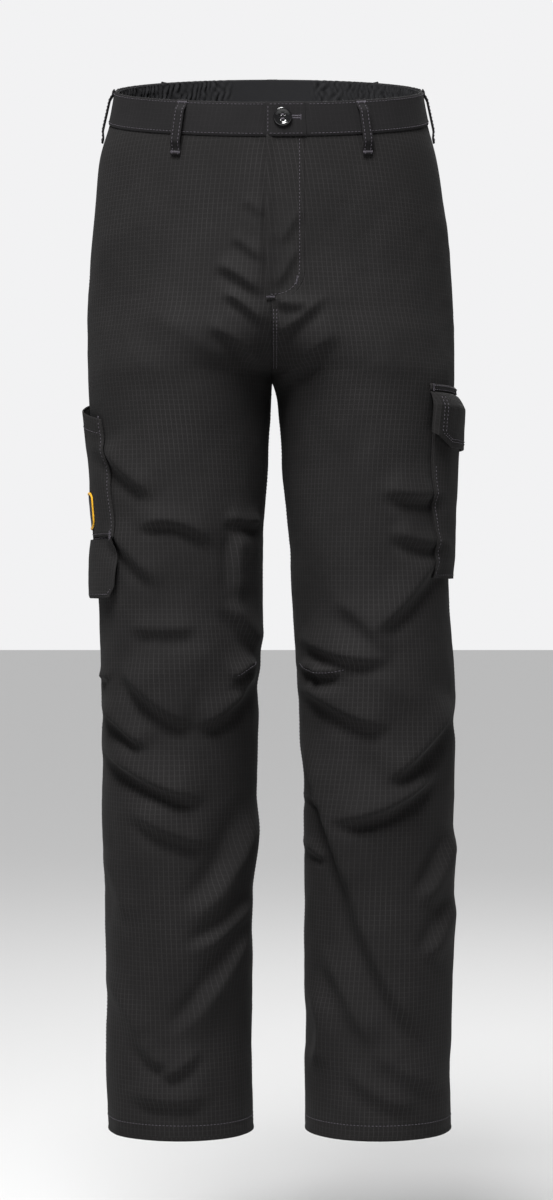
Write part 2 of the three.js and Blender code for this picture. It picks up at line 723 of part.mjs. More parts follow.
// The flap hangs from the sewn band, rises over the pocket's mouth and has two clipped lower corners.
function cargoFlap() {
  const from = 1 - CARGO.front - FLAP.overhang;
  const to = 1 + CARGO.back + FLAP.overhang;
  const corner = FLAP.clip / 150;
  const lift = flapLift();
  const inner = (share, row) => {
    const below = -row * (FLAP.top - FLAP.bottom);
    return LAYER + (lift - LAYER) * Math.min(1, Math.abs(below) / FLAP.rise) ** 0.6;
  };
  return sheet({
    columns: range(from, to, 24),
    rows: [0, 0.08, 0.16, 0.25, 0.5, 0.75, 1],
    at: (share, row) => {
      const clipped = FLAP.clip * Math.max(0, 1 - Math.min(share - from, to - share) / corner);
      return onSkin(LEFT, share, FLAP.top + row * (FLAP.bottom + clipped - FLAP.top));
    },
    inner,
    outer: (share, row) => inner(share, row) + FLAP.thick,
  });
}

// A strip of hook or loop tape, its inner face at a given distance from the leg.
function fastenerStrip(inner) {
  const middle = 1 + (CARGO.back - CARGO.front) / 2;
  return cargoSheet(middle - FASTENER.share, middle + FASTENER.share,
    [FASTENER.top, FASTENER.bottom], inner, inner + FASTENER.thick, 5);
}

function buildPockets() {
  add("rule_pocket_upper", ruleWall(), "ripstop");
  add("rule_pocket_end", ruleEnd(), "ripstop");
  badge();
  const cargo = cargoPocket();
  add("cargo_pocket_face", cargo.face, "ripstop");
  add("cargo_pocket_bellows", cargo.walls, "ripstop");
  add("cargo_flap", cargoFlap(), "ripstop");
  const band = cargoSheet(1 - CARGO.front - FLAP.overhang, 1 + CARGO.back + FLAP.overhang,
    [FLAP.top + FLAP.band, FLAP.top + GAP], LAYER, LAYER + CLOTH);
  add("cargo_flap_band", band, "ripstop");
  const face = CARGO.depth + GAP + CARGO.wall;
  add("flap_loop_strip", fastenerStrip(face + GAP), "hook");
  add("flap_hook_strip", fastenerStrip(flapLift() - GAP - FASTENER.thick), "hook");
  for (const [name, side] of SIDES) {
    const bag = sheet({
      columns: range(BAG.from, BAG.to, 8),
      rows: range(BAG.top, BAG.bottom, 6),
      at: (share, z) => onSkin(side, share, z),
      inner: -CLOTH - BAG.inside - BAG.thick,
      outer: -CLOTH - BAG.inside,
    });
    add(`hip_pocket_bag_${name}`, bag, "lining");
  }
}

buildFly();
buildPanels();
buildWaistband();
buildLoops();
buildPockets();

export default trousers;
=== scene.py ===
"""Cargo work trousers in black-grey ripstop: cloth, pockets, waistband, fly, hardware and stitching.

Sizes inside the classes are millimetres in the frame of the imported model; meshes are written in metres.
"""

import logging
import math
from dataclasses import dataclass, field
from enum import Enum
from typing import Sequence

import bpy
import numpy as np
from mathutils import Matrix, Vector


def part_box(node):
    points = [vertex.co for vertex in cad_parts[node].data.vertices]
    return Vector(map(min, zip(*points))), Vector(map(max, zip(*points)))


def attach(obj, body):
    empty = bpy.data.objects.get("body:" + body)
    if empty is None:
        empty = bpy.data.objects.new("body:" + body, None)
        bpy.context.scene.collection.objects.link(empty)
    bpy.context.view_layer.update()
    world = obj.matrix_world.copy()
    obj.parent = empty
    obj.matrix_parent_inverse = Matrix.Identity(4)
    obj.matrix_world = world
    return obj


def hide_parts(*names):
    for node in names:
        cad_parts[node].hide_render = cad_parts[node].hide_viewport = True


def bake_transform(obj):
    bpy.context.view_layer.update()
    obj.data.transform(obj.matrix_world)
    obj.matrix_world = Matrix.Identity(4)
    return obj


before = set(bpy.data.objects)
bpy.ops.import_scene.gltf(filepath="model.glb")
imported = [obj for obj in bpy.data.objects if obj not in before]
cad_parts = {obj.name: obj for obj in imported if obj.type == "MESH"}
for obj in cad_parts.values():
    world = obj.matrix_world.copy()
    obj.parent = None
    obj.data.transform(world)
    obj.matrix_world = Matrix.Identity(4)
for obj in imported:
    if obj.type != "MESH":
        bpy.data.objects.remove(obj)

Array = np.ndarray
Stations = tuple[tuple[float, float], ...]
MM = 0.001
SHARE_MM = 150.0  # how the cargo pocket turns millimetres to shares; not the cloth's true width
LOG = logging.getLogger("trousers")


class Side(Enum):
    """The wearer's side, as the sign of x."""

    RIGHT = -1
    LEFT = 1

    @property
    def word(self) -> str:
        """The side's name as piece names spell it."""
        return self.name.lower()


# ---- Plain mathematics ------------------------------------------------------------------------


def ease(t: Array | float) -> Array:
    """0 below 0, 1 above 1 and 3t^2 - 2t^3 between.

    Args:
        t: where to work it out.

    Returns:
        The eased values.
    """
    t = np.clip(t, 0.0, 1.0)
    return t * t * (3 - 2 * t)


def unit(v: Array) -> Array:
    """Vectors along the last axis, scaled to length 1."""
    return v / np.maximum(np.linalg.norm(v, axis=-1, keepdims=True), 1e-9)


@dataclass(frozen=True)
class Profile:
    """A smooth curve through (height, value) stations, level beyond its ends."""

    stations: Stations

    def __call__(self, z: Array | float) -> Array:
        """Cubic Hermite between stations, whose slopes are those of the chord between neighbours.

        Args:
            z: heights.

        Returns:
            The value at each height.
        """
        knots = np.array(sorted(self.stations), float)
        at, value = knots[:, 0], knots[:, 1]
        before = np.maximum(np.arange(len(at)) - 1, 0)
        after = np.minimum(np.arange(len(at)) + 1, len(at) - 1)
        slope = (value[after] - value[before]) / (at[after] - at[before])
        z = np.clip(z, at[0], at[-1])
        i = np.clip(np.searchsorted(at, z, side="left"), 1, len(at) - 1)
        span = at[i] - at[i - 1]
        t = (z - at[i - 1]) / span
        rise = value[i] - value[i - 1]
        bow = t * (1 - t)
        bend = span * bow * (slope[i - 1] * (1 - t) - slope[i] * t)
        return value[i - 1] + rise * t * t * (3 - 2 * t) + bend


@dataclass(frozen=True)
class Lattice:
    """Smooth noise from a seeded lattice of values, repeated every 32 cells."""

    seed: int

    def __call__(self, p: Array, cell: float) -> Array:
        """Eased trilinear mix of the eight lattice values round each point.

        Args:
            p: points, last axis 3.
            cell: size of a lattice cell.

        Returns:
            One value per point, from -1 to 1.
        """
        table = np.random.default_rng(self.seed).uniform(-1, 1, (32, 32, 32))
        q = p / cell + 320.0
        low = np.floor(q).astype(int)
        t = ease(q - low)
        total = np.zeros(p.shape[:-1])
        for dx in (0, 1):
            for dy in (0, 1):
                for dz in (0, 1):
                    weight = (t[..., 0] if dx else 1 - t[..., 0]) * (t[..., 1] if dy else 1 - t[..., 1])
                    weight = weight * (t[..., 2] if dz else 1 - t[..., 2])
                    i = (low[..., 0] + dx) % 32, (low[..., 1] + dy) % 32, (low[..., 2] + dz) % 32
                    total = total + weight * table[i]
        return total


@dataclass(frozen=True)
class Fold:
    """A crease that runs along a quadratic curve in (x, z), sharp on the right of its travel.

    Attributes:
        start, bow, end: the curve's control points.
        height: how far the crest stands out; a dent is negative.
        soft, sharp: widths of the crest's two flanks.
    """

    start: tuple[float, float]
    bow: tuple[float, float]
    end: tuple[float, float]
    height: float = 6.0
    soft: float = 16.0
    sharp: float = 5.5

    def __call__(self, x: Array, z: Array) -> Array:
        """h exp(-(d/w)^1.5) about the crest with a hollow beyond its sharp flank, faded at both ends.

        Args:
            x, z: where the cloth is.

        Returns:
            How far the cloth stands out of its smooth surface.
        """
        u = np.linspace(0, 1, 15)[:, None]
        a, b, c = (np.array(v, float) for v in (self.start, self.bow, self.end))
        line = (1 - u) ** 2 * a + 2 * u * (1 - u) * b + u**2 * c
        out = np.zeros(x.shape)
        reach = 2.6 * max(self.soft, 2 * self.sharp)
        low, high = line.min(0) - reach, line.max(0) + reach
        near = (x > low[0]) & (x < high[0]) & (z > low[1]) & (z < high[1])
        if not near.any():
            return out
        p = np.stack([x[near], z[near]], -1)
        best = np.full(len(p), 1e9)
        along = np.zeros(len(p))
        offset = np.zeros(len(p))
        for i, (p0, p1) in enumerate(zip(line[:-1], line[1:])):
            way = p1 - p0
            t = np.clip(((p - p0) @ way) / (way @ way), 0, 1)
            gap = p - p0 - t[:, None] * way
            far = np.hypot(gap[:, 0], gap[:, 1])
            sign = np.sign(way[0] * gap[:, 1] - way[1] * gap[:, 0])
            closer = far < best
            best = np.where(closer, far, best)
            along = np.where(closer, (i + t) / 14, along)
            offset = np.where(closer, sign * far, offset)
        crest = np.exp(-(np.abs(offset) / np.where(offset > 0, self.soft, self.sharp)) ** 1.5)
        hollow = np.exp(-(((offset + 1.9 * self.sharp) / (1.3 * self.sharp)) ** 2))
        fade = ease(along / 0.3) * ease((1 - along) / 0.3)
        out[near] = self.height * fade * (crest - 0.42 * hollow)
        return out


# ---- The body that the cloth lies on --------------------------------------------------------------

GAP = 0.4
CROTCH, KNEE, HEM = -304.0, -620.0, -1099.0
RIM_SLOPE = 0.281
BAND = 35.0
CLOTH = 1.1


@dataclass(frozen=True)
class Skin:
    """The trousers' outer surface before it creases, and the creases on it.

    A half body's section is an ellipse. Share 0 is the centre front or inseam, 1 the outseam and 2 the
    centre back or inseam.
    """

    front_folds: Sequence[Fold]
    back_folds: Sequence[Fold]
    outer: dict[Side, Profile] = field(default_factory=lambda: {
        Side.RIGHT: Profile(((40, 160), (0, 165), (-34, 171), (-72, 182), (-115, 187), (-180, 192), (-300, 194),
                             (-400, 189), (-500, 184), (KNEE, 181), (-850, 179), (HEM, 174))),
        Side.LEFT: Profile(((40, 154), (0, 158), (-34, 164), (-72, 174), (-115, 181), (-180, 188), (-300, 192),
                            (-400, 188), (-500, 187), (KNEE, 192), (-850, 191), (HEM, 188)))})
    inseam: dict[Side, Profile] = field(default_factory=lambda: {
        Side.RIGHT: Profile(((CROTCH, 0), (-330, 2), (-475, 8), (KNEE, 12), (-760, 16), (-870, 22), (HEM, 20))),
        Side.LEFT: Profile(((CROTCH, 0), (-330, 7), (-420, 13), (-520, 20), (KNEE, 26), (-760, 32), (HEM, 37)))})
    closure: Profile = Profile(((40, 1), (-124, 1), (-190, 1), (-235, 0.78), (-262, 0.45), (-285, 0.17),
                                (-298, 0.035), (CROTCH, 0)))
    front: Profile = Profile(((40, 112), (0, 113), (-60, 116), (-180, 121), (-260, 118), (-330, 106),
                              (-450, 98), (KNEE, 90), (-850, 80), (HEM, 74)))
    back: Profile = Profile(((40, 117), (-34, 121), (-100, 130), (-180, 137), (-260, 130), (-330, 114),
                             (-450, 102), (KNEE, 84), (-760, 89), (-850, 87), (HEM, 73)))
    middle: Profile = Profile(((40, 0), (-60, 0), (-180, 4), (-330, 2), (KNEE, -5), (-850, 4), (HEM, 0)))

    def section(self, side: Side, z: Array) -> tuple[Array, Array, Array]:
        """The ellipse's centre, half width and first angle at each height."""
        outer = self.outer[side](z)
        inner = np.where(z > CROTCH, -outer * self.closure(z), self.inseam[side](z))
        centre, half = (outer + inner) / 2, (outer - inner) / 2
        start = np.where(centre < half, np.arccos(np.clip(centre / half, -1, 1)), 0.0)
        return centre, half, start

    def bare(self, side: Side, share: Array, z: Array) -> Array:
        """Points of the smooth surface: (centre - half cos a, mid - depth sin a, z).

        Args:
            side: the wearer's side.
            share, z: where on that half.

        Returns:
            Points, last axis 3.
        """
        share, z = np.broadcast_arrays(np.asarray(share, float), np.asarray(z, float))
        centre, half, start = self.section(side, z)
        turn = np.where(share <= 1, start + share * (np.pi - start), np.pi + (share - 1) * (np.pi - start))
        depth = np.where(np.sin(turn) > 0, self.front(z), self.back(z))
        x = side.value * (GAP / 2 + centre - half * np.cos(turn))
        return np.stack([x, self.middle(z) - depth * np.sin(turn), z], -1)

    def normal(self, side: Side, share: Array, z: Array) -> Array:
        """Outward normals of the smooth surface, from its slopes along both parameters."""
        share = np.clip(share, 0.004, 1.996)
        around = self.bare(side, share + 0.004, z) - self.bare(side, share - 0.004, z)
        up = self.bare(side, share, z + 2) - self.bare(side, share, z - 2)
        return -side.value * unit(np.cross(up, around))

    def creased(self, side: Side, share: Array, p: Array) -> Array:
        """How far the cloth stands off the smooth surface: folds, each fading at the seams, and ripples.

        Args:
            side: the wearer's side; not used.
            share: place round the section.
            p: points of the smooth surface.

        Returns:
            One distance per point.
        """
        x, z = p[..., 0], p[..., 2]
        front = sum(f(x, z) for f in self.front_folds)
        back = sum(f(x, z) for f in self.back_folds)
        outseam = ease((np.abs(share - 1)) / 0.16) * 0.5 + 0.5
        inseam = ease(np.minimum(share, 2 - share) / 0.16) * 0.5 + 0.5
        inseam = 1 + (inseam - 1) * ease((CROTCH + 10 - z) / 50)
        own = np.minimum(outseam, inseam)
        mixed = np.where(share <= 1, own * front + (1 - own) * back, own * back + (1 - own) * front)
        calm = ease((-z - 70) / 90)
        stretched = p * np.array([1.0, 1.0, 0.8])
        ripple = 2.2 * LARGE(stretched, 64.0) + 0.75 * SMALL(stretched, 23.0) + 0.22 * SMALL(p, 9.0)
        return mixed * (0.25 + 0.75 * calm) + ripple * (0.22 + 0.78 * calm)

    def at(self, side: Side, share: Array, z: Array, lift: Array | float = 0.0) -> Array:
        """Points of the creased surface, lifted off it along its normal.

        Args:
            side: the wearer's side.
            share, z: where on that half.
            lift: distance outwards.

        Returns:
            Points, last axis 3.
        """
        share, z = np.broadcast_arrays(np.asarray(share, float), np.asarray(z, float))
        p = self.bare(side, share, z)
        off = self.creased(side, share, p) + lift
        out = self.normal(side, share, z)
        apart = ease(np.minimum(share, 2 - share) / 0.09)
        apart = 1 - (1 - apart) * ease((z - CROTCH + 5) / 8)
        side_on = out * np.stack([apart, np.ones_like(apart), np.ones_like(apart)], -1)
        closed = p - side.value * GAP / 2 * (1 - apart)[..., None] * np.array([1.0, 0.0, 0.0])
        return closed + side_on * off[..., None]

    def cloth(self, side: Side, share: Array, z: Array) -> Array:
        """Cloth coordinates: arc length round the section from the outseam, and the height.

        The arc is the sum over 32 equal steps of sqrt((half sin a)^2 + (depth cos a)^2) da.
        """
        share, z = np.broadcast_arrays(np.asarray(share, float), np.asarray(z, float))
        _, half, start = self.section(side, z)
        turn = (share - 1) * (np.pi - start)
        steps = (np.arange(32) + 0.5) / 32
        angle = np.pi + turn[..., None] * steps
        depth = np.where(np.sin(angle) > 0, self.front(z)[..., None], self.back(z)[..., None])
        arc = np.hypot(half[..., None] * np.sin(angle), depth * np.cos(angle)).mean(-1) * turn
        return np.stack([-side.value * arc, z], -1)

    def below_rim(self, side: Side, share: Array, drop: Array | float) -> Array:
        """Height of the line parallel to the waist opening, drop below it: z = slope y - drop."""
        z = -np.broadcast_arrays(np.asarray(drop, float), np.asarray(share, float))[0]
        for _ in range(6):
            z = RIM_SLOPE * self.bare(side, share, z)[..., 1] - drop
        return z

    def share_at(self, side: Side, x: Array, z: Array) -> Array:
        """Share at which the front has a given x, counted outwards from the middle of the body."""
        z = np.asarray(z, float)
        centre, half, start = self.section(side, z)
        return (np.arccos(np.clip((centre + GAP / 2 - x) / half, -1, 1)) - start) / (np.pi - start)


LARGE, SMALL = Lattice(11), Lattice(5)

FRONT_FOLDS = (
    # the wearer's right leg, from the hip down
    Fold((-7, -60), (-7, -150), (-7, -240), -1.7, 2.6, 2.6),
    Fold((-26, -59), (-14, -64), (-4, -74), 2.2, 6, 3),
    Fold((-150, -226), (-95, -262), (-40, -300), 3.0, 30, 14),
    Fold((-60, -196), (-34, -204), (-6, -230), 5.5, 9, 5),
    Fold((-44, -168), (-26, -176), (-6, -196), 3.0, 8, 4.5),
    Fold((-30, -130), (-18, -136), (-6, -150), 2.0, 7, 4.5),
    Fold((-52, -224), (-26, -236), (-3, -262), 5.5, 8, 4.5),
    Fold((-70, -258), (-34, -268), (-6, -300), 5.5, 12, 5.5),
    Fold((-178, -372), (-160, -408), (-112, -436), 7.4, 18, 6),
    Fold((-142, -470), (-104, -440), (-50, -490), 7.4, 17, 5),
    Fold((-50, -452), (-30, -462), (-8, -456), 5.4, 10, 5),
    Fold((-30, -460), (-42, -500), (-32, -548), 6.1, 14, 5),
    Fold((-46, -540), (-26, -566), (-10, -594), 6.8, 16, 6),
    Fold((-172, -462), (-146, -492), (-112, -528), 6.1, 15, 6),
    Fold((-152, -566), (-110, -573), (-70, -566), 4.9, 14, 7),
    Fold((-158, -598), (-118, -664), (-72, -666), 9.5, 25, 7),
    Fold((-84, -668), (-40, -664), (-10, -594), 9.5, 23, 7),
    Fold((-180, -645), (-156, -672), (-122, -694), 9.5, 16, 5),
    Fold((-184, -686), (-128, -734), (-62, -746), 12.2, 25, 6),
    Fold((-148, -752), (-104, -786), (-58, -792), 7.4, 21, 7),
    Fold((-14, -742), (-30, -826), (-92, -878), 10.8, 28, 9),
    Fold((-16, -842), (-46, -888), (-92, -908), 7.4, 17, 6),
    Fold((-18, -862), (-50, -948), (-106, -1000), 8.8, 23, 7),
    Fold((-140, -990), (-124, -1024), (-106, -1018), 5.4, 14, 6),
    Fold((-118, -1030), (-96, -1034), (-74, -1000), 5.4, 14, 6),
    Fold((-156, -1046), (-108, -1068), (-60, -1050), 5.4, 18, 7),
    Fold((-180, -930), (-150, -962), (-128, -1010), 4.7, 18, 9),
    Fold((-178, -800), (-162, -836), (-148, -880), 4.1, 18, 9),
    Fold((-46, -622), (-32, -610), (-16, -602), 6.8, 10, 3.5),
    Fold((-48, -628), (-34, -640), (-18, -622), -3.0, 8, 6),
    Fold((-184, -622), (-176, -616), (-166, -622), 4.7, 6, 4),
    Fold((-166, -706), (-120, -800), (-96, -990), 7.0, 46, 34),
    Fold((-150, -600), (-96, -640), (-40, -560), 5.0, 40, 26),
    # the wearer's left leg
    Fold((60, -700), (110, -840), (160, -980), 7.0, 44, 26),
    Fold((60, -560), (110, -650), (176, -640), 5.0, 40, 26),
    Fold((28, -602), (42, -622), (80, -610), 6.8, 10, 3.5),
    Fold((30, -616), (50, -636), (84, -622), -3.0, 8, 6),
    Fold((44, -600), (48, -612), (50, -624), 3.4, 5, 3.5),
    Fold((3, -232), (16, -242), (40, -236), 4.5, 8, 4.5),
    Fold((6, -178), (16, -166), (30, -138), 1.8, 8, 4.5),
    Fold((2, -222), (14, -206), (28, -176), 2.2, 8, 4.5),
    Fold((2, -268), (20, -262), (58, -226), 5.0, 10, 5),
    Fold((4, -318), (26, -290), (74, -262), 4.5, 14, 7),
    Fold((110, -424), (146, -436), (178, -428), 6.8, 17, 6),
    Fold((120, -466), (150, -484), (180, -480), 6.8, 16, 6),
    Fold((94, -578), (142, -546), (180, -476), 8.1, 21, 7),
    Fold((24, -574), (70, -606), (128, -598), 8.1, 23, 6),
    Fold((62, -536), (100, -560), (126, -600), 6.1, 18, 8),
    Fold((26, -622), (76, -664), (128, -670), 8.8, 23, 7),
    Fold((108, -728), (160, -700), (194, -634), 12.2, 25, 7),
    Fold((62, -764), (122, -766), (176, -710), 12.2, 25, 6),
    Fold((28, -668), (62, -770), (96, -880), 12.0, 26, 7),
    Fold((80, -830), (106, -930), (160, -1004), 10.0, 26, 8),
    Fold((194, -776), (180, -824), (150, -858), 8.1, 17, 6),
    Fold((190, -848), (176, -890), (154, -916), 6.8, 16, 6),
    Fold((30, -742), (42, -752), (58, -752), 4.1, 9, 4),
    Fold((30, -790), (44, -806), (58, -810), 4.1, 9, 4),
    Fold((36, -940), (66, -1000), (38, -1034), 6.1, 16, 7),
    Fold((106, -350), (94, -430), (104, -510), 3.0, 16, 14),
    Fold((100, -1000), (140, -1040), (186, -1046), 4.7, 21, 9),
    Fold((74, -1020), (110, -1066), (160, -1062), 4.7, 18, 8),
    Fold((50, -896), (74, -950), (110, -1010), 5.4, 18, 8),
)

BACK_FOLDS = (
    Fold((-150, -292), (-80, -330), (-10, -318), 5.0, 20, 8),
    Fold((10, -318), (80, -334), (150, -296), 5.0, 20, 8),
    Fold((-160, -342), (-90, -372), (-14, -356), 4.5, 18, 8),
    Fold((16, -360), (90, -378), (164, -340), 4.5, 18, 8),
    Fold((-120, -190), (-70, -240), (-16, -286), 3.5, 22, 11),
    Fold((16, -290), (70, -244), (124, -196), 3.5, 22, 11),
    Fold((-176, -560), (-100, -604), (-20, -580), 8.8, 21, 7),
    Fold((-178, -606), (-96, -640), (-18, -612), 8.1, 18, 6),
    Fold((-176, -668), (-100, -660), (-22, -700), 8.8, 21, 7),
    Fold((-172, -728), (-104, -722), (-26, -762), 7.4, 21, 8),
    Fold((32, -578), (104, -606), (186, -566), 8.8, 21, 7),
    Fold((30, -614), (108, -644), (188, -610), 8.1, 18, 6),
    Fold((34, -702), (112, -662), (190, -672), 8.8, 21, 7),
    Fold((38, -766), (112, -726), (188, -734), 7.4, 21, 8),
    Fold((-160, -838), (-110, -880), (-40, -890), 6.8, 23, 9),
    Fold((44, -894), (112, -884), (174, -836), 6.8, 23, 9),
    Fold((-40, -930), (-80, -990), (-150, -1020), 6.8, 21, 8),
    Fold((56, -930), (90, -1000), (160, -1024), 6.8, 21, 8),
    Fold((-166, -440), (-110, -480), (-60, -500), 4.7, 23, 10),
    Fold((60, -500), (118, -484), (170, -444), 4.7, 23, 10),
)


# ---- Mesh making ----------------------------------------------------------------------------------


def grid_faces(rows: int, columns: int, loop: bool = False) -> Array:
    """Quads of a grid of rows x columns points: (r, c), (r, c+1), (r+1, c+1), (r+1, c).

    Args:
        rows, columns: the grid's size in points.
        loop: whether the last column joins the first.

    Returns:
        Indices, one row of four per quad.
    """
    r = np.arange(rows - 1)[:, None]
    c = np.arange(columns if loop else columns - 1)[None, :]
    n = (c + 1) % columns
    quads = np.stack([r * columns + c, r * columns + n, (r + 1) * columns + n, (r + 1) * columns + c], -1)
    return quads.reshape(-1, 4)


def new_object(name: str, points: Array, faces: Array, uv: Array | None = None,
               smooth: bool = True) -> bpy.types.Object:
    """A mesh object at the origin from points in millimetres.

    Args:
        name: the piece's name.
        points: one row per vertex.
        faces: quads.
        uv: cloth coordinates per vertex, in millimetres.
        smooth: whether its faces are shaded smoothly.

    Returns:
        The object, linked to the scene.
    """
    mesh = bpy.data.meshes.new(name)
    mesh.from_pydata((points * MM).tolist(), [], faces.tolist())
    if uv is not None:
        layer = mesh.uv_layers.new(name="cloth")
        layer.data.foreach_set("uv", (uv[faces.reshape(-1)] * MM).reshape(-1).astype(np.float32))
    mesh.polygons.foreach_set("use_smooth", np.full(len(faces), smooth))
    mesh.update()
    obj = bpy.data.objects.new(name, mesh)
    bpy.context.scene.collection.objects.link(obj)
    return obj


def cloth_uv(points: Array) -> Array:
    """Cloth coordinates: arc length along each row from its middle, and along the middle column.

    Args:
        points: rows x columns x 3.

    Returns:
        rows x columns x 2, in millimetres.
    """
    step = np.linalg.norm(np.diff(points, axis=1), axis=-1)
    u = np.concatenate([np.zeros((len(points), 1)), np.cumsum(step, 1)], 1)
    u = u - u[:, [u.shape[1] // 2]]
    mid = points[:, points.shape[1] // 2]
    v = np.concatenate([[0], -np.cumsum(np.linalg.norm(np.diff(mid, axis=0), axis=-1))])
    return np.stack([u, np.broadcast_to(v[:, None], u.shape)], -1)


def surface(name: str, points: Array, outward: Array | None = None, uv: Array | None = None,
            wall: float = 0.0, loop: bool = False, offset: float = -1.0) -> bpy.types.Object:
    """A grid of points as a sheet of cloth whose faces point outwards.

    Args:
        name: the piece's name.
        points: rows x columns x 3.
        outward: normals or one direction that the faces turn to.
        uv: cloth coordinates; worked out from the points if missing.
        wall: thickness of the cloth.
        loop: whether the last column joins the first.
        offset: which way the wall grows, -1 inwards.

    Returns:
        The object.
    """
    rows, columns = points.shape[:2]
    uv = cloth_uv(points) if uv is None else uv
    faces = grid_faces(rows, columns, loop)
    if outward is not None:
        flat = points.reshape(-1, 3)
        own = np.cross(flat[faces[:, 2]] - flat[faces[:, 0]], flat[faces[:, 3]] - flat[faces[:, 1]])
        aim = np.broadcast_to(outward, points.shape).reshape(-1, 3)[faces[:, 0]]
        if (own * aim).sum() < 0:
            faces = faces[:, ::-1]
    obj = new_object(name, points.reshape(-1, 3), faces, uv.reshape(-1, 2))
    if wall:
        thick = obj.modifiers.new("wall", "SOLIDIFY")
        thick.thickness, thick.offset = wall * MM, offset
        thick.use_even_offset = False
    return obj


@dataclass(frozen=True)
class Thread:
    """A lockstitched row's thread: how long a stitch shows, its spacing, width and height."""

    length: float = 2.5
    pitch: float = 3.9
    width: float = 0.7
    height: float = 0.45

    def place(self, path: Array, normals: Array) -> tuple[Array, Array, Array]:
        """Starts, ends and normals of the stitches along one path.

        Args:
            path: points along the row.
            normals: surface normals there.

        Returns:
            Start points, end points and normals.
        """
        far = np.concatenate([[0], np.cumsum(np.linalg.norm(np.diff(path, axis=0), axis=-1))])
        at = np.arange(self.pitch / 2, max(far[-1] - self.length, self.pitch), self.pitch)
        pick = lambda where, values: np.stack([np.interp(where, far, values[:, k]) for k in range(3)], -1)
        return pick(at, path), pick(at + self.length, path), unit(pick(at, normals))

    def bar(self, centre: Array, along: Array, normal: Array, length: float,
            width: float) -> tuple[Array, Array, Array]:
        """A bartack: short stitches side by side across a line.

        Args:
            centre: its middle.
            along: direction in which the bar runs.
            normal: surface normal.
            length, width: the bar's size.

        Returns:
            Start points, end points and normals.
        """
        along, normal = unit(np.asarray(along, float)), unit(np.asarray(normal, float))
        across = np.cross(normal, along)
        count = max(int(length / 0.7), 3)
        at = np.linspace(-length / 2, length / 2, count)[:, None]
        lean = 0.25 * along
        a = centre + at * along - across * width / 2 - lean
        return a, centre + at * along + across * width / 2 + lean, np.broadcast_to(normal, a.shape)

    def mesh(self, name: str, rows: Sequence[tuple[Array, Array, Array]]) -> bpy.types.Object:
        """All stitches as one mesh: each is three square sections, pinched into the cloth at its ends.

        Args:
            name: the piece's name.
            rows: starts, ends and normals of each row.

        Returns:
            The object.
        """
        a, b, n = (np.concatenate([r[k] for r in rows]) for k in range(3))
        side = unit(np.cross(b - a, n))
        parts = []
        for t, wide, high in ((0.0, 0.55, -0.15), (0.5, 1.0, 1.0), (1.0, 0.55, -0.15)):
            c = a + (b - a) * t
            w = side * (self.width * wide / 2)
            low, top = n * (-0.3), n * (self.height * high)
            parts += [c - w + low, c + w + low, c + 0.6 * w + top, c - 0.6 * w + top]
        points = np.stack(parts, 1)
        ring = [[s + k, s + (k + 1) % 4, s + 4 + (k + 1) % 4, s + 4 + k] for s in (0, 4) for k in range(4)]
        pattern = np.array([[3, 2, 1, 0], *ring, [8, 9, 10, 11]])
        faces = (pattern[None] + 12 * np.arange(len(a))[:, None, None]).reshape(-1, 4)
        uv = np.tile(np.array([[t, k] for t in (0, 1, 2) for k in range(4)], float), (len(a), 1))
        return new_object(name, points.reshape(-1, 3), faces[:, ::-1], uv)


THREAD = Thread()


# ---- Finishes -------------------------------------------------------------------------------------


def linear(code: str) -> tuple[float, float, float, float]:
    """An sRGB hex colour as linear light: c/12.92, or ((c + 0.055)/1.055)^2.4 above 0.04045."""
    parts = [int(code[i:i + 2], 16) / 255 for i in (1, 3, 5)]
    return tuple(c / 12.92 if c <= 0.04045 else ((c + 0.055) / 1.055) ** 2.4 for c in parts) + (1.0,)


def add(tree: bpy.types.NodeTree, kind: str, values: dict | None = None, **settings: object) -> bpy.types.Node:
    """Adds a node with its settings, its values and its links.

    Args:
        tree: the material's nodes.
        kind: the node's type.
        values: for each input, a constant or the output socket that feeds it.
        **settings: the node's own properties.

    Returns:
        The node.
    """
    made = tree.nodes.new(kind)
    for key, value in settings.items():
        setattr(made, key, value)
    for key, value in (values or {}).items():
        if isinstance(value, bpy.types.NodeSocket):
            tree.links.new(value, made.inputs[key])
        else:
            made.inputs[key].default_value = value
    return made


def calc(tree: bpy.types.NodeTree, operation: str, *values: object) -> bpy.types.NodeSocket:
    """One arithmetic step on numbers or sockets, and the socket of its result."""
    return add(tree, "ShaderNodeMath", dict(enumerate(values)), operation=operation).outputs[0]


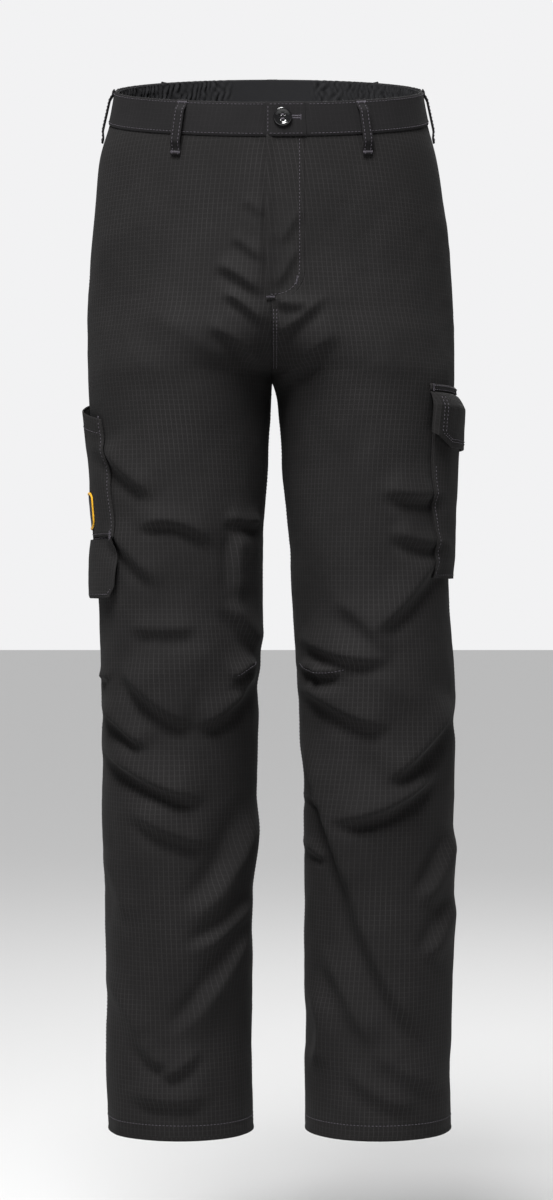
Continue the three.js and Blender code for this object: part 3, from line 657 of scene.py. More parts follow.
@dataclass(frozen=True)
class Finish:
    """A material and the record's slot that it belongs to.

    Attributes:
        name: the real material and process.
        slot: the slot's name in the record; not used.
        shade: its main colour.
        rough: roughness.
        sheen: how much loose fibre catches light at a glancing angle.
        gleam: specular level, low for cloth and 0.5 for plastic and metal.
    """

    name: str
    slot: str
    shade: str
    rough: float = 0.85
    sheen: float = 0.1
    gleam: float = 0.25

    def start(self) -> tuple[bpy.types.NodeTree, bpy.types.Node]:
        """An empty material with its shader.

        Returns:
            The nodes and the shader.
        """
        made = bpy.data.materials.new(self.name)
        made.use_nodes = True
        tree = made.node_tree
        tree.nodes.clear()
        shader = add(tree, "ShaderNodeBsdfPrincipled", {
            "Base Color": linear(self.shade), "Roughness": self.rough, "IOR": 1.5,
            "Specular IOR Level": self.gleam,
            "Sheen Weight": self.sheen, "Sheen Roughness": 0.45})
        add(tree, "ShaderNodeOutputMaterial", {"Surface": shader.outputs[0]})
        return tree, shader

    def build(self) -> bpy.types.Material:
        """The finished material."""
        tree, shader = self.start()
        self.dress(tree, shader)
        return bpy.data.materials[self.name]

    def dress(self, tree: bpy.types.NodeTree, shader: bpy.types.Node) -> None:
        """Adds what the eye sees close up: a fine grain in colour and height."""
        place = add(tree, "ShaderNodeTexCoord").outputs["Object"]
        grain = add(tree, "ShaderNodeTexNoise", {"Vector": place, "Scale": 900.0, "Detail": 4.0}).outputs[0]
        self.tint(tree, shader, grain, 0.75, 1.25)
        self.emboss(tree, shader, grain, 0.25, 0.0004)

    def tint(self, tree: bpy.types.NodeTree, shader: bpy.types.Node, mask: bpy.types.NodeSocket,
             low: float, high: float) -> bpy.types.NodeSocket:
        """Colours the shader from low to high times its shade as mask goes from 0 to 1."""
        scale = lambda k: tuple(min(c * k, 1.0) for c in linear(self.shade)[:3]) + (1.0,)
        mixed = add(tree, "ShaderNodeMix", {0: mask, 6: scale(low), 7: scale(high)}, data_type="RGBA").outputs[2]
        tree.links.new(mixed, shader.inputs["Base Color"])
        return mixed

    def emboss(self, tree: bpy.types.NodeTree, shader: bpy.types.Node, height: bpy.types.NodeSocket,
               strength: float, depth: float) -> None:
        """Bumps the shader's surface by height times depth in metres."""
        bump = add(tree, "ShaderNodeBump", {"Height": height, "Strength": strength, "Distance": depth})
        tree.links.new(bump.outputs[0], shader.inputs["Normal"])


@dataclass(frozen=True)
class Ripstop(Finish):
    """Piece-dyed polycotton ripstop: thicker threads stand out in a 5 mm grid on a matt, slightly faded ground.

    Attributes:
        line: colour of the grid's thicker threads.
        cell: spacing of the grid in millimetres.
    """

    line: str = "#434142"
    cell: float = 5.0

    def dress(self, tree: bpy.types.NodeTree, shader: bpy.types.Node) -> None:
        """Draws the grid from the cloth's own coordinates, dotted where each thread dives under the weft.

        The yarn is 0.3 mm, too fine to show, so its dots are drawn 1.7 mm apart.
        """
        cloth = add(tree, "ShaderNodeUVMap", uv_map="cloth").outputs[0]
        axes = add(tree, "ShaderNodeSeparateXYZ", {0: cloth})
        lines, weave = [], []
        for own, other in ((0, 1), (1, 0)):
            across = calc(tree, "DIVIDE", axes.outputs[own], self.cell * MM)
            near = calc(tree, "PINGPONG", across, 0.5)
            line = add(tree, "ShaderNodeMapRange", {0: near, 1: 0.03, 2: 0.12, 3: 1.0, 4: 0.0},
                       interpolation_type="SMOOTHSTEP").outputs[0]
            beat = calc(tree, "SINE", calc(tree, "MULTIPLY", axes.outputs[other], 2 * math.pi / (1.7 * MM)))
            dots = calc(tree, "MULTIPLY_ADD", beat, 0.28, 0.72)
            lines.append(calc(tree, "MULTIPLY", line, dots))
            weave.append(calc(tree, "SINE", calc(tree, "MULTIPLY", axes.outputs[own], 2 * math.pi / (1.25 * MM))))
        upright = calc(tree, "MULTIPLY", lines[0], 1.0)
        grid = calc(tree, "MAXIMUM", upright, calc(tree, "MULTIPLY", lines[1], 0.5))
        yarn = calc(tree, "MULTIPLY", weave[0], weave[1])
        place = add(tree, "ShaderNodeTexCoord").outputs["Object"]
        fade = add(tree, "ShaderNodeTexNoise", {"Vector": place, "Scale": 14.0, "Detail": 5.0, "Roughness": 0.62})
        slub = add(tree, "ShaderNodeTexNoise", {"Vector": place, "Scale": 420.0, "Detail": 3.0}).outputs[0]
        patchy = calc(tree, "MULTIPLY_ADD", fade.outputs[0], 0.75, calc(tree, "MULTIPLY", slub, 0.3))
        ground = self.tint(tree, shader, patchy, 0.62, 1.3)
        bold = add(tree, "ShaderNodeMapRange", {0: fade.outputs[0], 1: 0.3, 2: 0.7, 3: 0.14, 4: 0.42}).outputs[0]
        shown = calc(tree, "MULTIPLY", grid, bold)
        mixed = add(tree, "ShaderNodeMix", {0: shown, 6: ground, 7: linear(self.line)}, data_type="RGBA")
        tree.links.new(mixed.outputs[2], shader.inputs["Base Color"])
        height = calc(tree, "ADD", grid, calc(tree, "MULTIPLY_ADD", yarn, 0.16, calc(tree, "MULTIPLY", slub, 0.5)))
        self.emboss(tree, shader, height, 0.42, 0.00035)


@dataclass(frozen=True)
class Ribbed(Finish):
    """A narrow weave: ribs across its own coordinates, as in elastic, tape and plain pocketing.

    Attributes:
        pitch: spacing of the ribs along u and v in millimetres; 0 for none.
    """

    pitch: tuple[float, float] = (1.6, 1.6)

    def dress(self, tree: bpy.types.NodeTree, shader: bpy.types.Node) -> None:
        """Ribs as the product of a sine along each coordinate, with a little fleck."""
        cloth = add(tree, "ShaderNodeUVMap", uv_map="cloth").outputs[0]
        axes = add(tree, "ShaderNodeSeparateXYZ", {0: cloth})
        waves = [calc(tree, "SINE", calc(tree, "MULTIPLY", axes.outputs[k], 2 * math.pi / (p * MM)))
                 for k, p in enumerate(self.pitch) if p]
        rib = waves[0] if len(waves) == 1 else calc(tree, "MULTIPLY", waves[0], waves[1])
        height = calc(tree, "MULTIPLY_ADD", rib, 0.5, 0.5)
        place = add(tree, "ShaderNodeTexCoord").outputs["Object"]
        fleck = add(tree, "ShaderNodeTexNoise", {"Vector": place, "Scale": 500.0, "Detail": 3.0}).outputs[0]
        mixed = calc(tree, "MULTIPLY_ADD", fleck, 0.7, calc(tree, "MULTIPLY", height, 0.3))
        self.tint(tree, shader, mixed, 0.6, 1.35)
        self.emboss(tree, shader, height, 0.5, 0.0004)


@dataclass(frozen=True)
class Resin(Finish):
    """Cast polyester, tumbled to a gloss: near black, with faint swirls under a clear, hard surface."""

    def dress(self, tree: bpy.types.NodeTree, shader: bpy.types.Node) -> None:
        """Swirled colour, a clear coat and roughness that varies with handling."""
        place = add(tree, "ShaderNodeTexCoord").outputs["Object"]
        swirl = add(tree, "ShaderNodeTexNoise",
                    {"Vector": place, "Scale": 160.0, "Detail": 3.0, "Distortion": 1.5}).outputs[0]
        self.tint(tree, shader, swirl, 0.6, 1.8)
        worn = add(tree, "ShaderNodeMapRange", {0: swirl, 1: 0.3, 2: 0.7, 3: self.rough * 0.7, 4: self.rough * 1.6})
        tree.links.new(worn.outputs[0], shader.inputs["Roughness"])
        shader.inputs["Coat Weight"].default_value = 0.6
        shader.inputs["Coat Roughness"].default_value = 0.06


@dataclass(frozen=True)
class Brass(Finish):
    """Die-cast brass with an antique black-brown finish, rubbed bright on its high spots."""

    def dress(self, tree: bpy.types.NodeTree, shader: bpy.types.Node) -> None:
        """Metal whose dark finish is worn in patches about 1 mm across."""
        place = add(tree, "ShaderNodeTexCoord").outputs["Object"]
        rub = add(tree, "ShaderNodeTexNoise", {"Vector": place, "Scale": 700.0, "Detail": 4.0}).outputs[0]
        self.tint(tree, shader, rub, 0.5, 1.7)
        worn = add(tree, "ShaderNodeMapRange", {0: rub, 1: 0.3, 2: 0.7, 3: self.rough * 1.3, 4: self.rough * 0.7})
        tree.links.new(worn.outputs[0], shader.inputs["Roughness"])
        self.emboss(tree, shader, rub, 0.2, 0.0001)
        shader.inputs["Metallic"].default_value = 1.0


@dataclass(frozen=True)
class Hooked(Finish):
    """Woven nylon hook and loop tape: a dense pile that scatters light like felt."""

    def dress(self, tree: bpy.types.NodeTree, shader: bpy.types.Node) -> None:
        """Cells 1 mm across stand for the hooks and loops."""
        place = add(tree, "ShaderNodeTexCoord").outputs["Object"]
        pile = add(tree, "ShaderNodeTexVoronoi", {"Vector": place, "Scale": 1000.0}).outputs[0]
        self.tint(tree, shader, pile, 1.4, 0.5)
        self.emboss(tree, shader, pile, 0.8, 0.0006)


RIPSTOP = Ripstop("ripstop_polycotton_piece_dyed", "ripstop", "#1b1a1a", 0.86, 0.01, 0.16)
BAND_CLOTH = Ripstop("ripstop_polycotton_fused_band", "ripstop", "#181718", 0.86, 0.01, 0.16, line="#2c2a2c")
LINING = Ribbed("pocketing_polycotton_plain_weave", "lining", "#1c1c1e", 0.9, 0.03, pitch=(1.6, 1.6))
ELASTIC = Ribbed("elastic_braided_polyester", "elastic", "#18181b", 0.8, 0.03, pitch=(0.0, 1.8))
TAPE = Ribbed("zip_tape_woven_polyester", "zip_tape", "#17171a", 0.75, 0.03, pitch=(1.3, 1.3))
TOUCH = Hooked("touch_tape_woven_nylon", "touch_tape", "#161616", 0.95, 0.1)
SEWING = Ribbed("thread_corespun_polyester", "thread", "#57535a", 0.8, 0.05, pitch=(0.0, 1.0))
BUTTON_RESIN = Resin("button_polyester_cast_gloss", "button", "#0c0c0d", 0.14, 0.0, 0.5)
ZIP_BRASS = Brass("zip_brass_antiqued", "zip_metal", "#8a7a5c", 0.34, 0.0, 0.5)
PATCH_FIELD = Ribbed("patch_twill_woven", "badge", "#201f21", 0.85, 0.03, pitch=(1.2, 1.2))
PATCH_EDGE = Ribbed("patch_edge_merrowed_rayon", "badge", "#e3a91a", 0.55, 0.1, pitch=(1.1, 0.0))


# ---- Sub-assemblies -------------------------------------------------------------------------------


@dataclass
class Assembly:
    """Pieces that are built and dressed together.

    Attributes:
        skin: the surface that all cloth lies on.
    """

    skin: Skin

    def dress(self, obj: bpy.types.Object, finish: Finish, body: str | None = "trousers",
              replaces: Sequence[str] = ()) -> bpy.types.Object:
        """Gives a piece its material, its body and the nodes that it stands for.

        Args:
            obj: the piece.
            finish: its finish.
            body: the body that it rides on; none for a piece that bends between two.
            replaces: names of CAD nodes.

        Returns:
            The piece.
        """
        if finish.name not in bpy.data.materials:
            finish.build()
        obj.data.materials.append(bpy.data.materials[finish.name])
        if body:
            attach(obj, body)
        if replaces:
            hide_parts(*replaces)
        LOG.info("%s: %d vertices", obj.name, len(obj.data.vertices))
        return obj

    def declare(self, obj: bpy.types.Object, points: Array, held: str, rests_on: Sequence[str] = (),
                fullness: float = 1.0) -> None:
        """Declares a piece of cloth, with a flat size worked out from its finished face, not from a cut.

        Args:
            obj: the piece; not used.
            points: rows x columns x 3 of its face; not used.
            held: how it is held; not used.
            rests_on: what it hangs from or lies on; not used.
            fullness: flat width for each unit of finished width; 2 for a pouch of two layers; not used.
        """

    def row(self, side: Side, share: Array, z: Array, lift: Array | float = 0.0) -> tuple[Array, Array, Array]:
        """A row of stitches on the creased surface."""
        share, z = np.broadcast_arrays(np.asarray(share, float), np.asarray(z, float))
        return THREAD.place(self.skin.at(side, share, z, lift), self.skin.normal(side, share, z))

    def tack(self, side: Side, share: float, z: float, along: tuple[float, float, float], length: float,
             width: float = 2.2, lift: float = 0.0) -> tuple[Array, Array, Array]:
        """A bartack on the creased surface, running along a direction."""
        point = self.skin.at(side, np.array([share]), np.array([z]), lift)[0]
        normal = self.skin.normal(side, np.array([share]), np.array([z]))[0]
        return THREAD.bar(point, np.array(along), normal, length, width)

    def sew(self, name: str, rows: Sequence[tuple[Array, Array, Array]],
            body: str | None = "trousers") -> bpy.types.Object:
        """Makes and dresses rows of stitches."""
        return self.dress(THREAD.mesh(name, rows), SEWING, body)


FLY_LEFT, FLY_HINGE, FLY_TOP = -5.0, 34.2, -66.75
FLY_FACE = -115.4  # y of the fly's face at its top
J_CENTRE, J_LEVEL, J_RADIUS = 4.0, -203.75, 30.0


@dataclass
class Legs(Assembly):
    """Front and back panels from the waist seam to the hem, their hems, seams and knee shaping."""

    cell: float = 3.2
    columns: int = 104
    reach: float = 0.125  # half the height over which a knee bends, in metres

    def bend(self, obj: bpy.types.Object, side: Side) -> None:
        """Bakes a piece's transform into its mesh; nothing here bends it at the knee."""
        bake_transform(obj)

    def heights(self) -> tuple[Array, int, int]:
        """Heights of the rows: waist to the J's centre, along the J's arc, then down to the hem.

        Returns:
            The heights, the number above the arc and the number on it.
        """
        upper = np.linspace(FLY_TOP, J_LEVEL, 44)[:-1]
        arc = J_LEVEL - J_RADIUS * np.sin(np.linspace(0, np.pi / 2, 16))
        lower = np.linspace(J_LEVEL - J_RADIUS - 0.3, HEM, int((-HEM + J_LEVEL - J_RADIUS) / self.cell))
        return np.concatenate([upper, arc, lower]), len(upper), len(arc)

    def fly_edge(self, z: Array) -> Array:
        """x of the fly's folding line and, below it, of its J: centre + sqrt(r^2 - dz^2)."""
        dip = np.clip(J_LEVEL - z, 0, J_RADIUS)
        return np.where(z > J_LEVEL, FLY_HINGE, J_CENTRE + 0.2 + np.sqrt(np.maximum(J_RADIUS**2 - dip**2, 0)))

    def panel(self, side: Side, face: int) -> tuple[Array, Array]:
        """Share and height of each point of a panel, closer together at its two seams.

        Args:
            side: the wearer's side.
            face: 0 for the front, 1 for the back.

        Returns:
            Shares and heights, rows x columns.
        """
        z = self.heights()[0]
        t = np.linspace(0, 1, self.columns)
        t = t - 0.42 * np.sin(2 * np.pi * t) / (2 * np.pi)
        start = np.zeros(len(z))
        if side is Side.LEFT and face == 0:
            fly = z > J_LEVEL - J_RADIUS - 0.1
            start = np.where(fly, self.skin.share_at(side, self.fly_edge(z), z), start)
        if face == 0:
            share = start[:, None] + t * (1.0 - start[:, None])
        else:
            share = np.broadcast_to(1.0 + t, (len(z), len(t)))
        top = self.skin.below_rim(side, share[0], BAND - 2.0)
        down = np.clip((FLY_TOP - z) / (FLY_TOP - J_LEVEL), 0, 1)[:, None]
        slanted = top[None] + down * (J_LEVEL - top[None])
        return share, np.where(z[:, None] > J_LEVEL, slanted, z[:, None])

    def build(self) -> None:
        """Builds the four panels, both hems and the seams' stitching."""
        for side in Side:
            for face, word in enumerate(("front", "back")):
                share, z = self.panel(side, face)
                uv = self.skin.cloth(side, share, z)
                points = self.skin.at(side, share, z)
                obj = surface(f"{word}_panel_cloth_{side.word}", points, self.skin.normal(side, share, z), uv, CLOTH)
                nodes = [f"{word}_panel_{side.word}", f"shin_{word}_{side.word}"]
                self.dress(obj, RIPSTOP, None, nodes + ([f"knee_fold_{side.word}"] if face else []))
                self.bend(obj, side)
                self.declare(obj, points, "hung", [f"waistband_{'front_' + side.word if not face else 'back'}"])
            self.hem(side)
            self.seams(side)
        self.crotch()
        self.darts()

    def hem(self, side: Side) -> None:
        """The turned-up hem inside the leg, rolled over the bottom edge, and its stitches."""
        share = np.linspace(0.0, 2.0, 200)[:-1]
        lifts = np.array([0.3, 0.5, 0.2, -0.6, -1.9, -2.6, -2.8, -2.7, -2.4])
        drops = np.array([3.0, 0.8, -0.4, -1.2, -0.6, 1.0, 12.0, 22.0, 25.0])
        z = HEM + drops[:, None] + 0 * share
        points = self.skin.at(side, share[None] + 0 * z, z, lifts[:, None])
        out = self.skin.normal(side, share[None] + 0 * z, z) * np.where(np.arange(9) < 4, 1, -1)[:, None, None]
        uv = cloth_uv(points)
        obj = surface(f"hem_cloth_{side.word}", points, out, uv, loop=True)
        self.dress(obj, RIPSTOP, f"shin_{side.word}", [f"hem_{side.word}"])
        around = np.linspace(0.01, 1.99, 400)
        rows = [self.row(side, around, np.full(400, HEM + 15.0), 0.15)]
        self.sew(f"hem_stitching_{side.word}", rows, f"shin_{side.word}")

    def seams(self, side: Side) -> None:
        """Topstitching beside the outseam and inseam."""
        z = np.linspace(-100, HEM + 4, 500)
        rows = [self.row(side, np.full(500, s), z, 0.1) for s in (1.014, 1.034)]
        z = np.linspace(CROTCH - 14, HEM + 4, 420)
        rows += [self.row(side, np.full(420, s), z, 0.1) for s in (0.024, 1.972)]
        obj = THREAD.mesh(f"seam_stitching_{side.word}", rows)
        self.dress(obj, SEWING, None)
        self.bend(obj, side)

    def darts(self) -> None:
        """Short stitched darts at the inner side of each knee."""
        for side, xs, zs in ((Side.RIGHT, (41.0, 31.0, 19.0), (-619.0, -611.0, -604.0)),
                             (Side.LEFT, (29.0, 46.0, 78.0), (-606.0, -621.0, -611.0))):
            t = np.linspace(0, 1, 24)
            x = (1 - t) ** 2 * xs[0] + 2 * t * (1 - t) * xs[1] + t**2 * xs[2]
            z = (1 - t) ** 2 * zs[0] + 2 * t * (1 - t) * zs[1] + t**2 * zs[2]
            obj = THREAD.mesh(f"knee_dart_stitching_{side.word}",
                              [self.row(side, self.skin.share_at(side, x, z), z, 0.15)])
            self.dress(obj, SEWING, None)
            self.bend(obj, side)

    def crotch(self) -> None:
        """The double-stitched seam from the fly down to the crotch and up the centre back."""
        z = np.linspace(J_LEVEL - J_RADIUS - 8, CROTCH + 6, 60)
        rows = []
        for side, x in ((Side.LEFT, 2.2), (Side.LEFT, 5.4)):
            rows.append(self.row(side, self.skin.share_at(side, np.full(60, x), z), z, 0.1))
        up = np.linspace(-8, CROTCH + 6, 150)
        rows += [self.row(Side.LEFT, 2.0 - np.full(150, s), up, 0.1) for s in (0.012, 0.026)]
        self.sew("crotch_seam_stitching", rows)


@dataclass
class Fly(Assembly):
    """The fly's placket and waist tab, what lies under them, and the zip.

    Attributes:
        legs: the panels that the placket continues.
        underlap, chain, shield: how far back from the placket's face each of them lies.
    """

    legs: Legs | None = None
    underlap: float = 7.7
    chain: float = 6.4
    shield: float = 10.4

    def flat(self, name: str, x: tuple[float, float], z: tuple[float, float], depth: float, wall: float,
             sag: float = 0.5) -> tuple[bpy.types.Object, Array]:
        """A flat strip of cloth behind the placket, with softly wavy faces.

        Args:
            name: the piece's name.
            x, z: its two extents.
            depth: how far it lies behind the placket's face.
            wall: its thickness.
            sag: height of its waves.

        Returns:
            The piece and its points.
        """
        columns = np.linspace(*x, max(int(abs(x[1] - x[0]) / 2), 6))
        rows = np.linspace(z[1], z[0], max(int(abs(z[1] - z[0]) / 3), 6))
        gx, gz = np.meshgrid(columns, rows)
        y = FLY_FACE + depth + 0.0046 * (gz - FLY_TOP)
        points = np.stack([gx, y, gz], -1)
        points[..., 1] += sag * SMALL(points, 30.0)
        obj = surface(name, points, np.array([0.0, -1.0, 0.0]), None, wall, offset=0.0)
        return obj, points

    def build(self) -> None:
        """Builds the placket, the tab, the layers beneath and the zip's dressing."""
        self.placket()
        self.tab()
        self.layers()
        for name in ("zip_teeth_right", "zip_teeth_left", "zip_bottom_stop", "zip_slider", "zip_pull"):
            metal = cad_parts[name]
            if ZIP_BRASS.name not in bpy.data.materials:
                ZIP_BRASS.build()
            for spot in metal.material_slots:
                spot.material = bpy.data.materials[ZIP_BRASS.name]

    def lap(self, x: Array) -> Array:
        """How far the placket's free edge stands over the right panel: 2.5 mm, eased away by x = 5."""
        return 2.5 * ease((5.0 - x) / 10.0)

    def placket(self) -> None:
        """The fly's face, one cloth with the left front panel at rest, and its stitched J."""
        z, above, arc = self.legs.heights()
        z = z[:above + arc]
        right = self.legs.fly_edge(z)
        t = np.linspace(0, 1, 30)
        x = FLY_LEFT + t[None] * (right[:, None] - FLY_LEFT)
        top = self.skin.below_rim(Side.LEFT, self.skin.share_at(Side.LEFT, x[0], FLY_TOP), BAND - 2.0)
        down = np.clip((FLY_TOP - z) / (FLY_TOP - J_LEVEL), 0, 1)[:, None]
        zz = np.where(z[:, None] > J_LEVEL, top[None] + down * (J_LEVEL - top[None]), z[:, None])
        share = self.skin.share_at(Side.LEFT, x, zz)
        lift = self.lap(x)
        points = self.skin.at(Side.LEFT, share, zz, lift)
        normal = self.skin.normal(Side.LEFT, share, zz)
        obj = surface("fly_placket_cloth", points, normal, self.skin.cloth(Side.LEFT, share, zz), 1.5)
        self.dress(obj, RIPSTOP, "fly_flap", ["fly_placket"])
        self.declare(obj, points, "hung", ["front_panel_cloth_left"])
        rows = []
        inset = 5.6
        bend = np.linspace(0, np.pi / 2, 40)
        radius = J_RADIUS - inset
        px = np.concatenate([np.full(60, FLY_HINGE - inset), J_CENTRE + radius * np.cos(bend)])
        pz = np.concatenate([np.linspace(FLY_TOP - 1, J_LEVEL, 60), J_LEVEL - radius * np.sin(bend)])
        px, pz = np.append(px, -3.5), np.append(pz, pz[-1] - 0.6)
        s = self.skin.share_at(Side.LEFT, px, pz)
        rows.append(self.row(Side.LEFT, s, pz, self.lap(px) + 0.1))
        spot = float(self.skin.share_at(Side.LEFT, np.array(-1.0), np.array(-231.0)))
        rows.append(self.tack(Side.LEFT, spot, -231.0, (1, 0, 0), 8.0, 2.2, 2.3))
        spot = float(self.skin.share_at(Side.LEFT, np.array(26.0), np.array(-214.0)))
        rows.append(self.tack(Side.LEFT, spot, -214.0, (0.2, 0, 1), 8.0, 2.2, 0.2))
        self.sew("fly_stitching", rows, "fly_flap")

    def tab(self) -> None:
        """The waistband's overlap: a folded strip of band with a stitched buttonhole."""
        band = Waistband(self.skin)
        start, end = FLY_LEFT - 1.0, FLY_HINGE
        x = np.linspace(start, end, 30)
        obj, points = band.strip("waistband_overlap_cloth", Side.LEFT, self.skin.share_at(Side.LEFT, x, FLY_TOP + 18),
                                 True, False, 0.9)
        self.dress(obj, BAND_CLOTH, "fly_flap", ["waistband_overlap"])
        self.declare(obj, points, "folded", ["front_panel_cloth_left"])
        rows = []
        for drop in (2.6, 32.2):
            xs = np.linspace(start + 2.4, end, 40)
            share = self.skin.share_at(Side.LEFT, xs, FLY_TOP + 18)
            rows.append(self.row(Side.LEFT, share, self.skin.below_rim(Side.LEFT, share, drop), 2.6))
        share = self.skin.share_at(Side.LEFT, np.full(20, start + 2.4), FLY_TOP + 18)
        drops = np.linspace(3, 32, 20)
        rows.append(self.row(Side.LEFT, share, self.skin.below_rim(Side.LEFT, share, drops), 2.6))
        level = FLY_TOP + 19.0
        for dz in (-1.1, 1.1):
            for xs in np.arange(13.0, 29.0, 0.8):
                share = float(self.skin.share_at(Side.LEFT, np.array(xs), np.array(level + dz)))
                rows.append(self.tack(Side.LEFT, share, level + dz, (1, 0, 0.0), 0.8, 1.5, 2.5))
        share = float(self.skin.share_at(Side.LEFT, np.array(29.6), np.array(level)))
        rows.append(self.tack(Side.LEFT, share, level, (0, 0, 1), 5.0, 2.0, 2.5))
        self.sew("waist_tab_stitching", rows, "fly_flap")

    def layers(self) -> None:
        """Underlap, shield and both zip tapes."""
        obj, points = self.flat("waistband_underlap_cloth", (-14, 36), (FLY_TOP + 0.6, FLY_TOP + 34.6),
                                self.underlap, 2.0)
        self.dress(obj, BAND_CLOTH, "trousers", ["waistband_underlap"])
        self.declare(obj, points, "folded", ["waistband_front_cloth_right"])
        obj, points = self.flat("fly_shield_cloth", (-16, 32), (-229.7, FLY_TOP - 0.6), self.shield, 1.2)
        self.dress(obj, LINING, "trousers", ["fly_shield"])
        self.declare(obj, points, "hung", ["front_panel_cloth_right"])
        for side in Side:
            near, far = 13 + side.value * 2.6, 13 + side.value * 13.6
            obj, points = self.flat(f"zip_tape_cloth_{side.word}", (min(near, far), max(near, far)),
                                    (-229.6, FLY_TOP - 3), self.chain, 0.5, 0.0)
            self.dress(obj, TAPE, "trousers", [f"zip_tape_{side.word}"])
            self.declare(obj, points, "hung", ["front_panel_cloth_right"])


@dataclass
class WaistButton(Assembly):
    """The four-hole button and the thread that holds it."""

    radius: float = 9.6
    x: float = 11.2
    z: float = FLY_TOP + 19.0

    def build(self) -> None:
        """Turns the button, pits its holes and crosses the thread through them."""
        lowest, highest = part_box("waist_button")
        front, back = lowest.y / MM, highest.y / MM
        r = np.array([0.0, 0.08, 0.16, 0.22, 0.28, 0.34, 0.40, 0.48, 0.56, 0.62, 0.68, 0.74, 0.80, 0.86, 0.92, 0.96,
                      0.985, 1.0, 1.0, 0.985, 0.94, 0.8, 0.5, 0.0])
        thick = back - front
        depth = np.array([0.44, 0.44, 0.44, 0.44, 0.44, 0.43, 0.42, 0.40, 0.36, 0.28, 0.16, 0.06, 0.01, 0.0, 0.03,
                          0.10, 0.2, 0.34, 0.62, 0.8, 0.92, 1.0, 1.0, 1.0]) * thick
        turn = np.linspace(0, 2 * np.pi, 97)[:-1]
        x = r[:, None] * self.radius * np.cos(turn)
        z = r[:, None] * self.radius * np.sin(turn)
        pit = sum(np.exp(-(((x - a * 2.1) ** 2 + (z - b * 2.1) ** 2) / 0.95) ** 2) for a in (-1, 1) for b in (-1, 1))
        facing = (np.arange(len(r)) < 12)[:, None]
        y = front + depth[:, None] + facing * pit * (thick * 0.5)
        points = np.stack([x + self.x, y, z + self.z], -1)
        out = np.stack([x * 0, np.where(np.arange(len(r)) < 14, -1.0, 1.0)[:, None] + 0 * x, z * 0], -1)
        obj = surface("waist_button_turned", points, out, None, loop=True)
        self.dress(obj, BUTTON_RESIN, "button", ["waist_button"])
        rows = []
        y0 = front + 0.44 * thick
        for dz in (-2.1, 2.1):
            for k in np.linspace(-0.55, 0.55, 4):
                a = np.array([[self.x - 2.1, y0 + 0.5, self.z + dz + k]])
                b = np.array([[self.x + 2.1, y0 + 0.5, self.z + dz + k]])
                rows.append((a, b, np.array([[0.0, -1.0, 0.0]])))
        cross = Thread(width=0.75, height=1.2).mesh("button_stitching", rows)
        self.dress(cross, SEWING, "button")
        shank = self.shank(back)
        self.dress(shank, SEWING, "button", ["button_thread"])

    def shank(self, back: float) -> bpy.types.Object:
        """The wound thread behind the button: a tube whose radius ripples as r + 0.12 sin along it."""
        _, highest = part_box("button_thread")
        y = np.linspace(back - 0.3, highest.y / MM, 30)
        turn = np.linspace(0, 2 * np.pi, 25)[:-1]
        radius = 1.3 + 0.12 * np.sin((y - back) * 9.0)
        x = self.x + radius[:, None] * np.cos(turn)
        z = self.z + radius[:, None] * np.sin(turn)
        points = np.stack([x, y[:, None] + 0 * x, z], -1)
        out = np.stack([x - self.x, 0 * x, z - self.z], -1)
        return surface("button_thread_shank", points, out, None, loop=True)


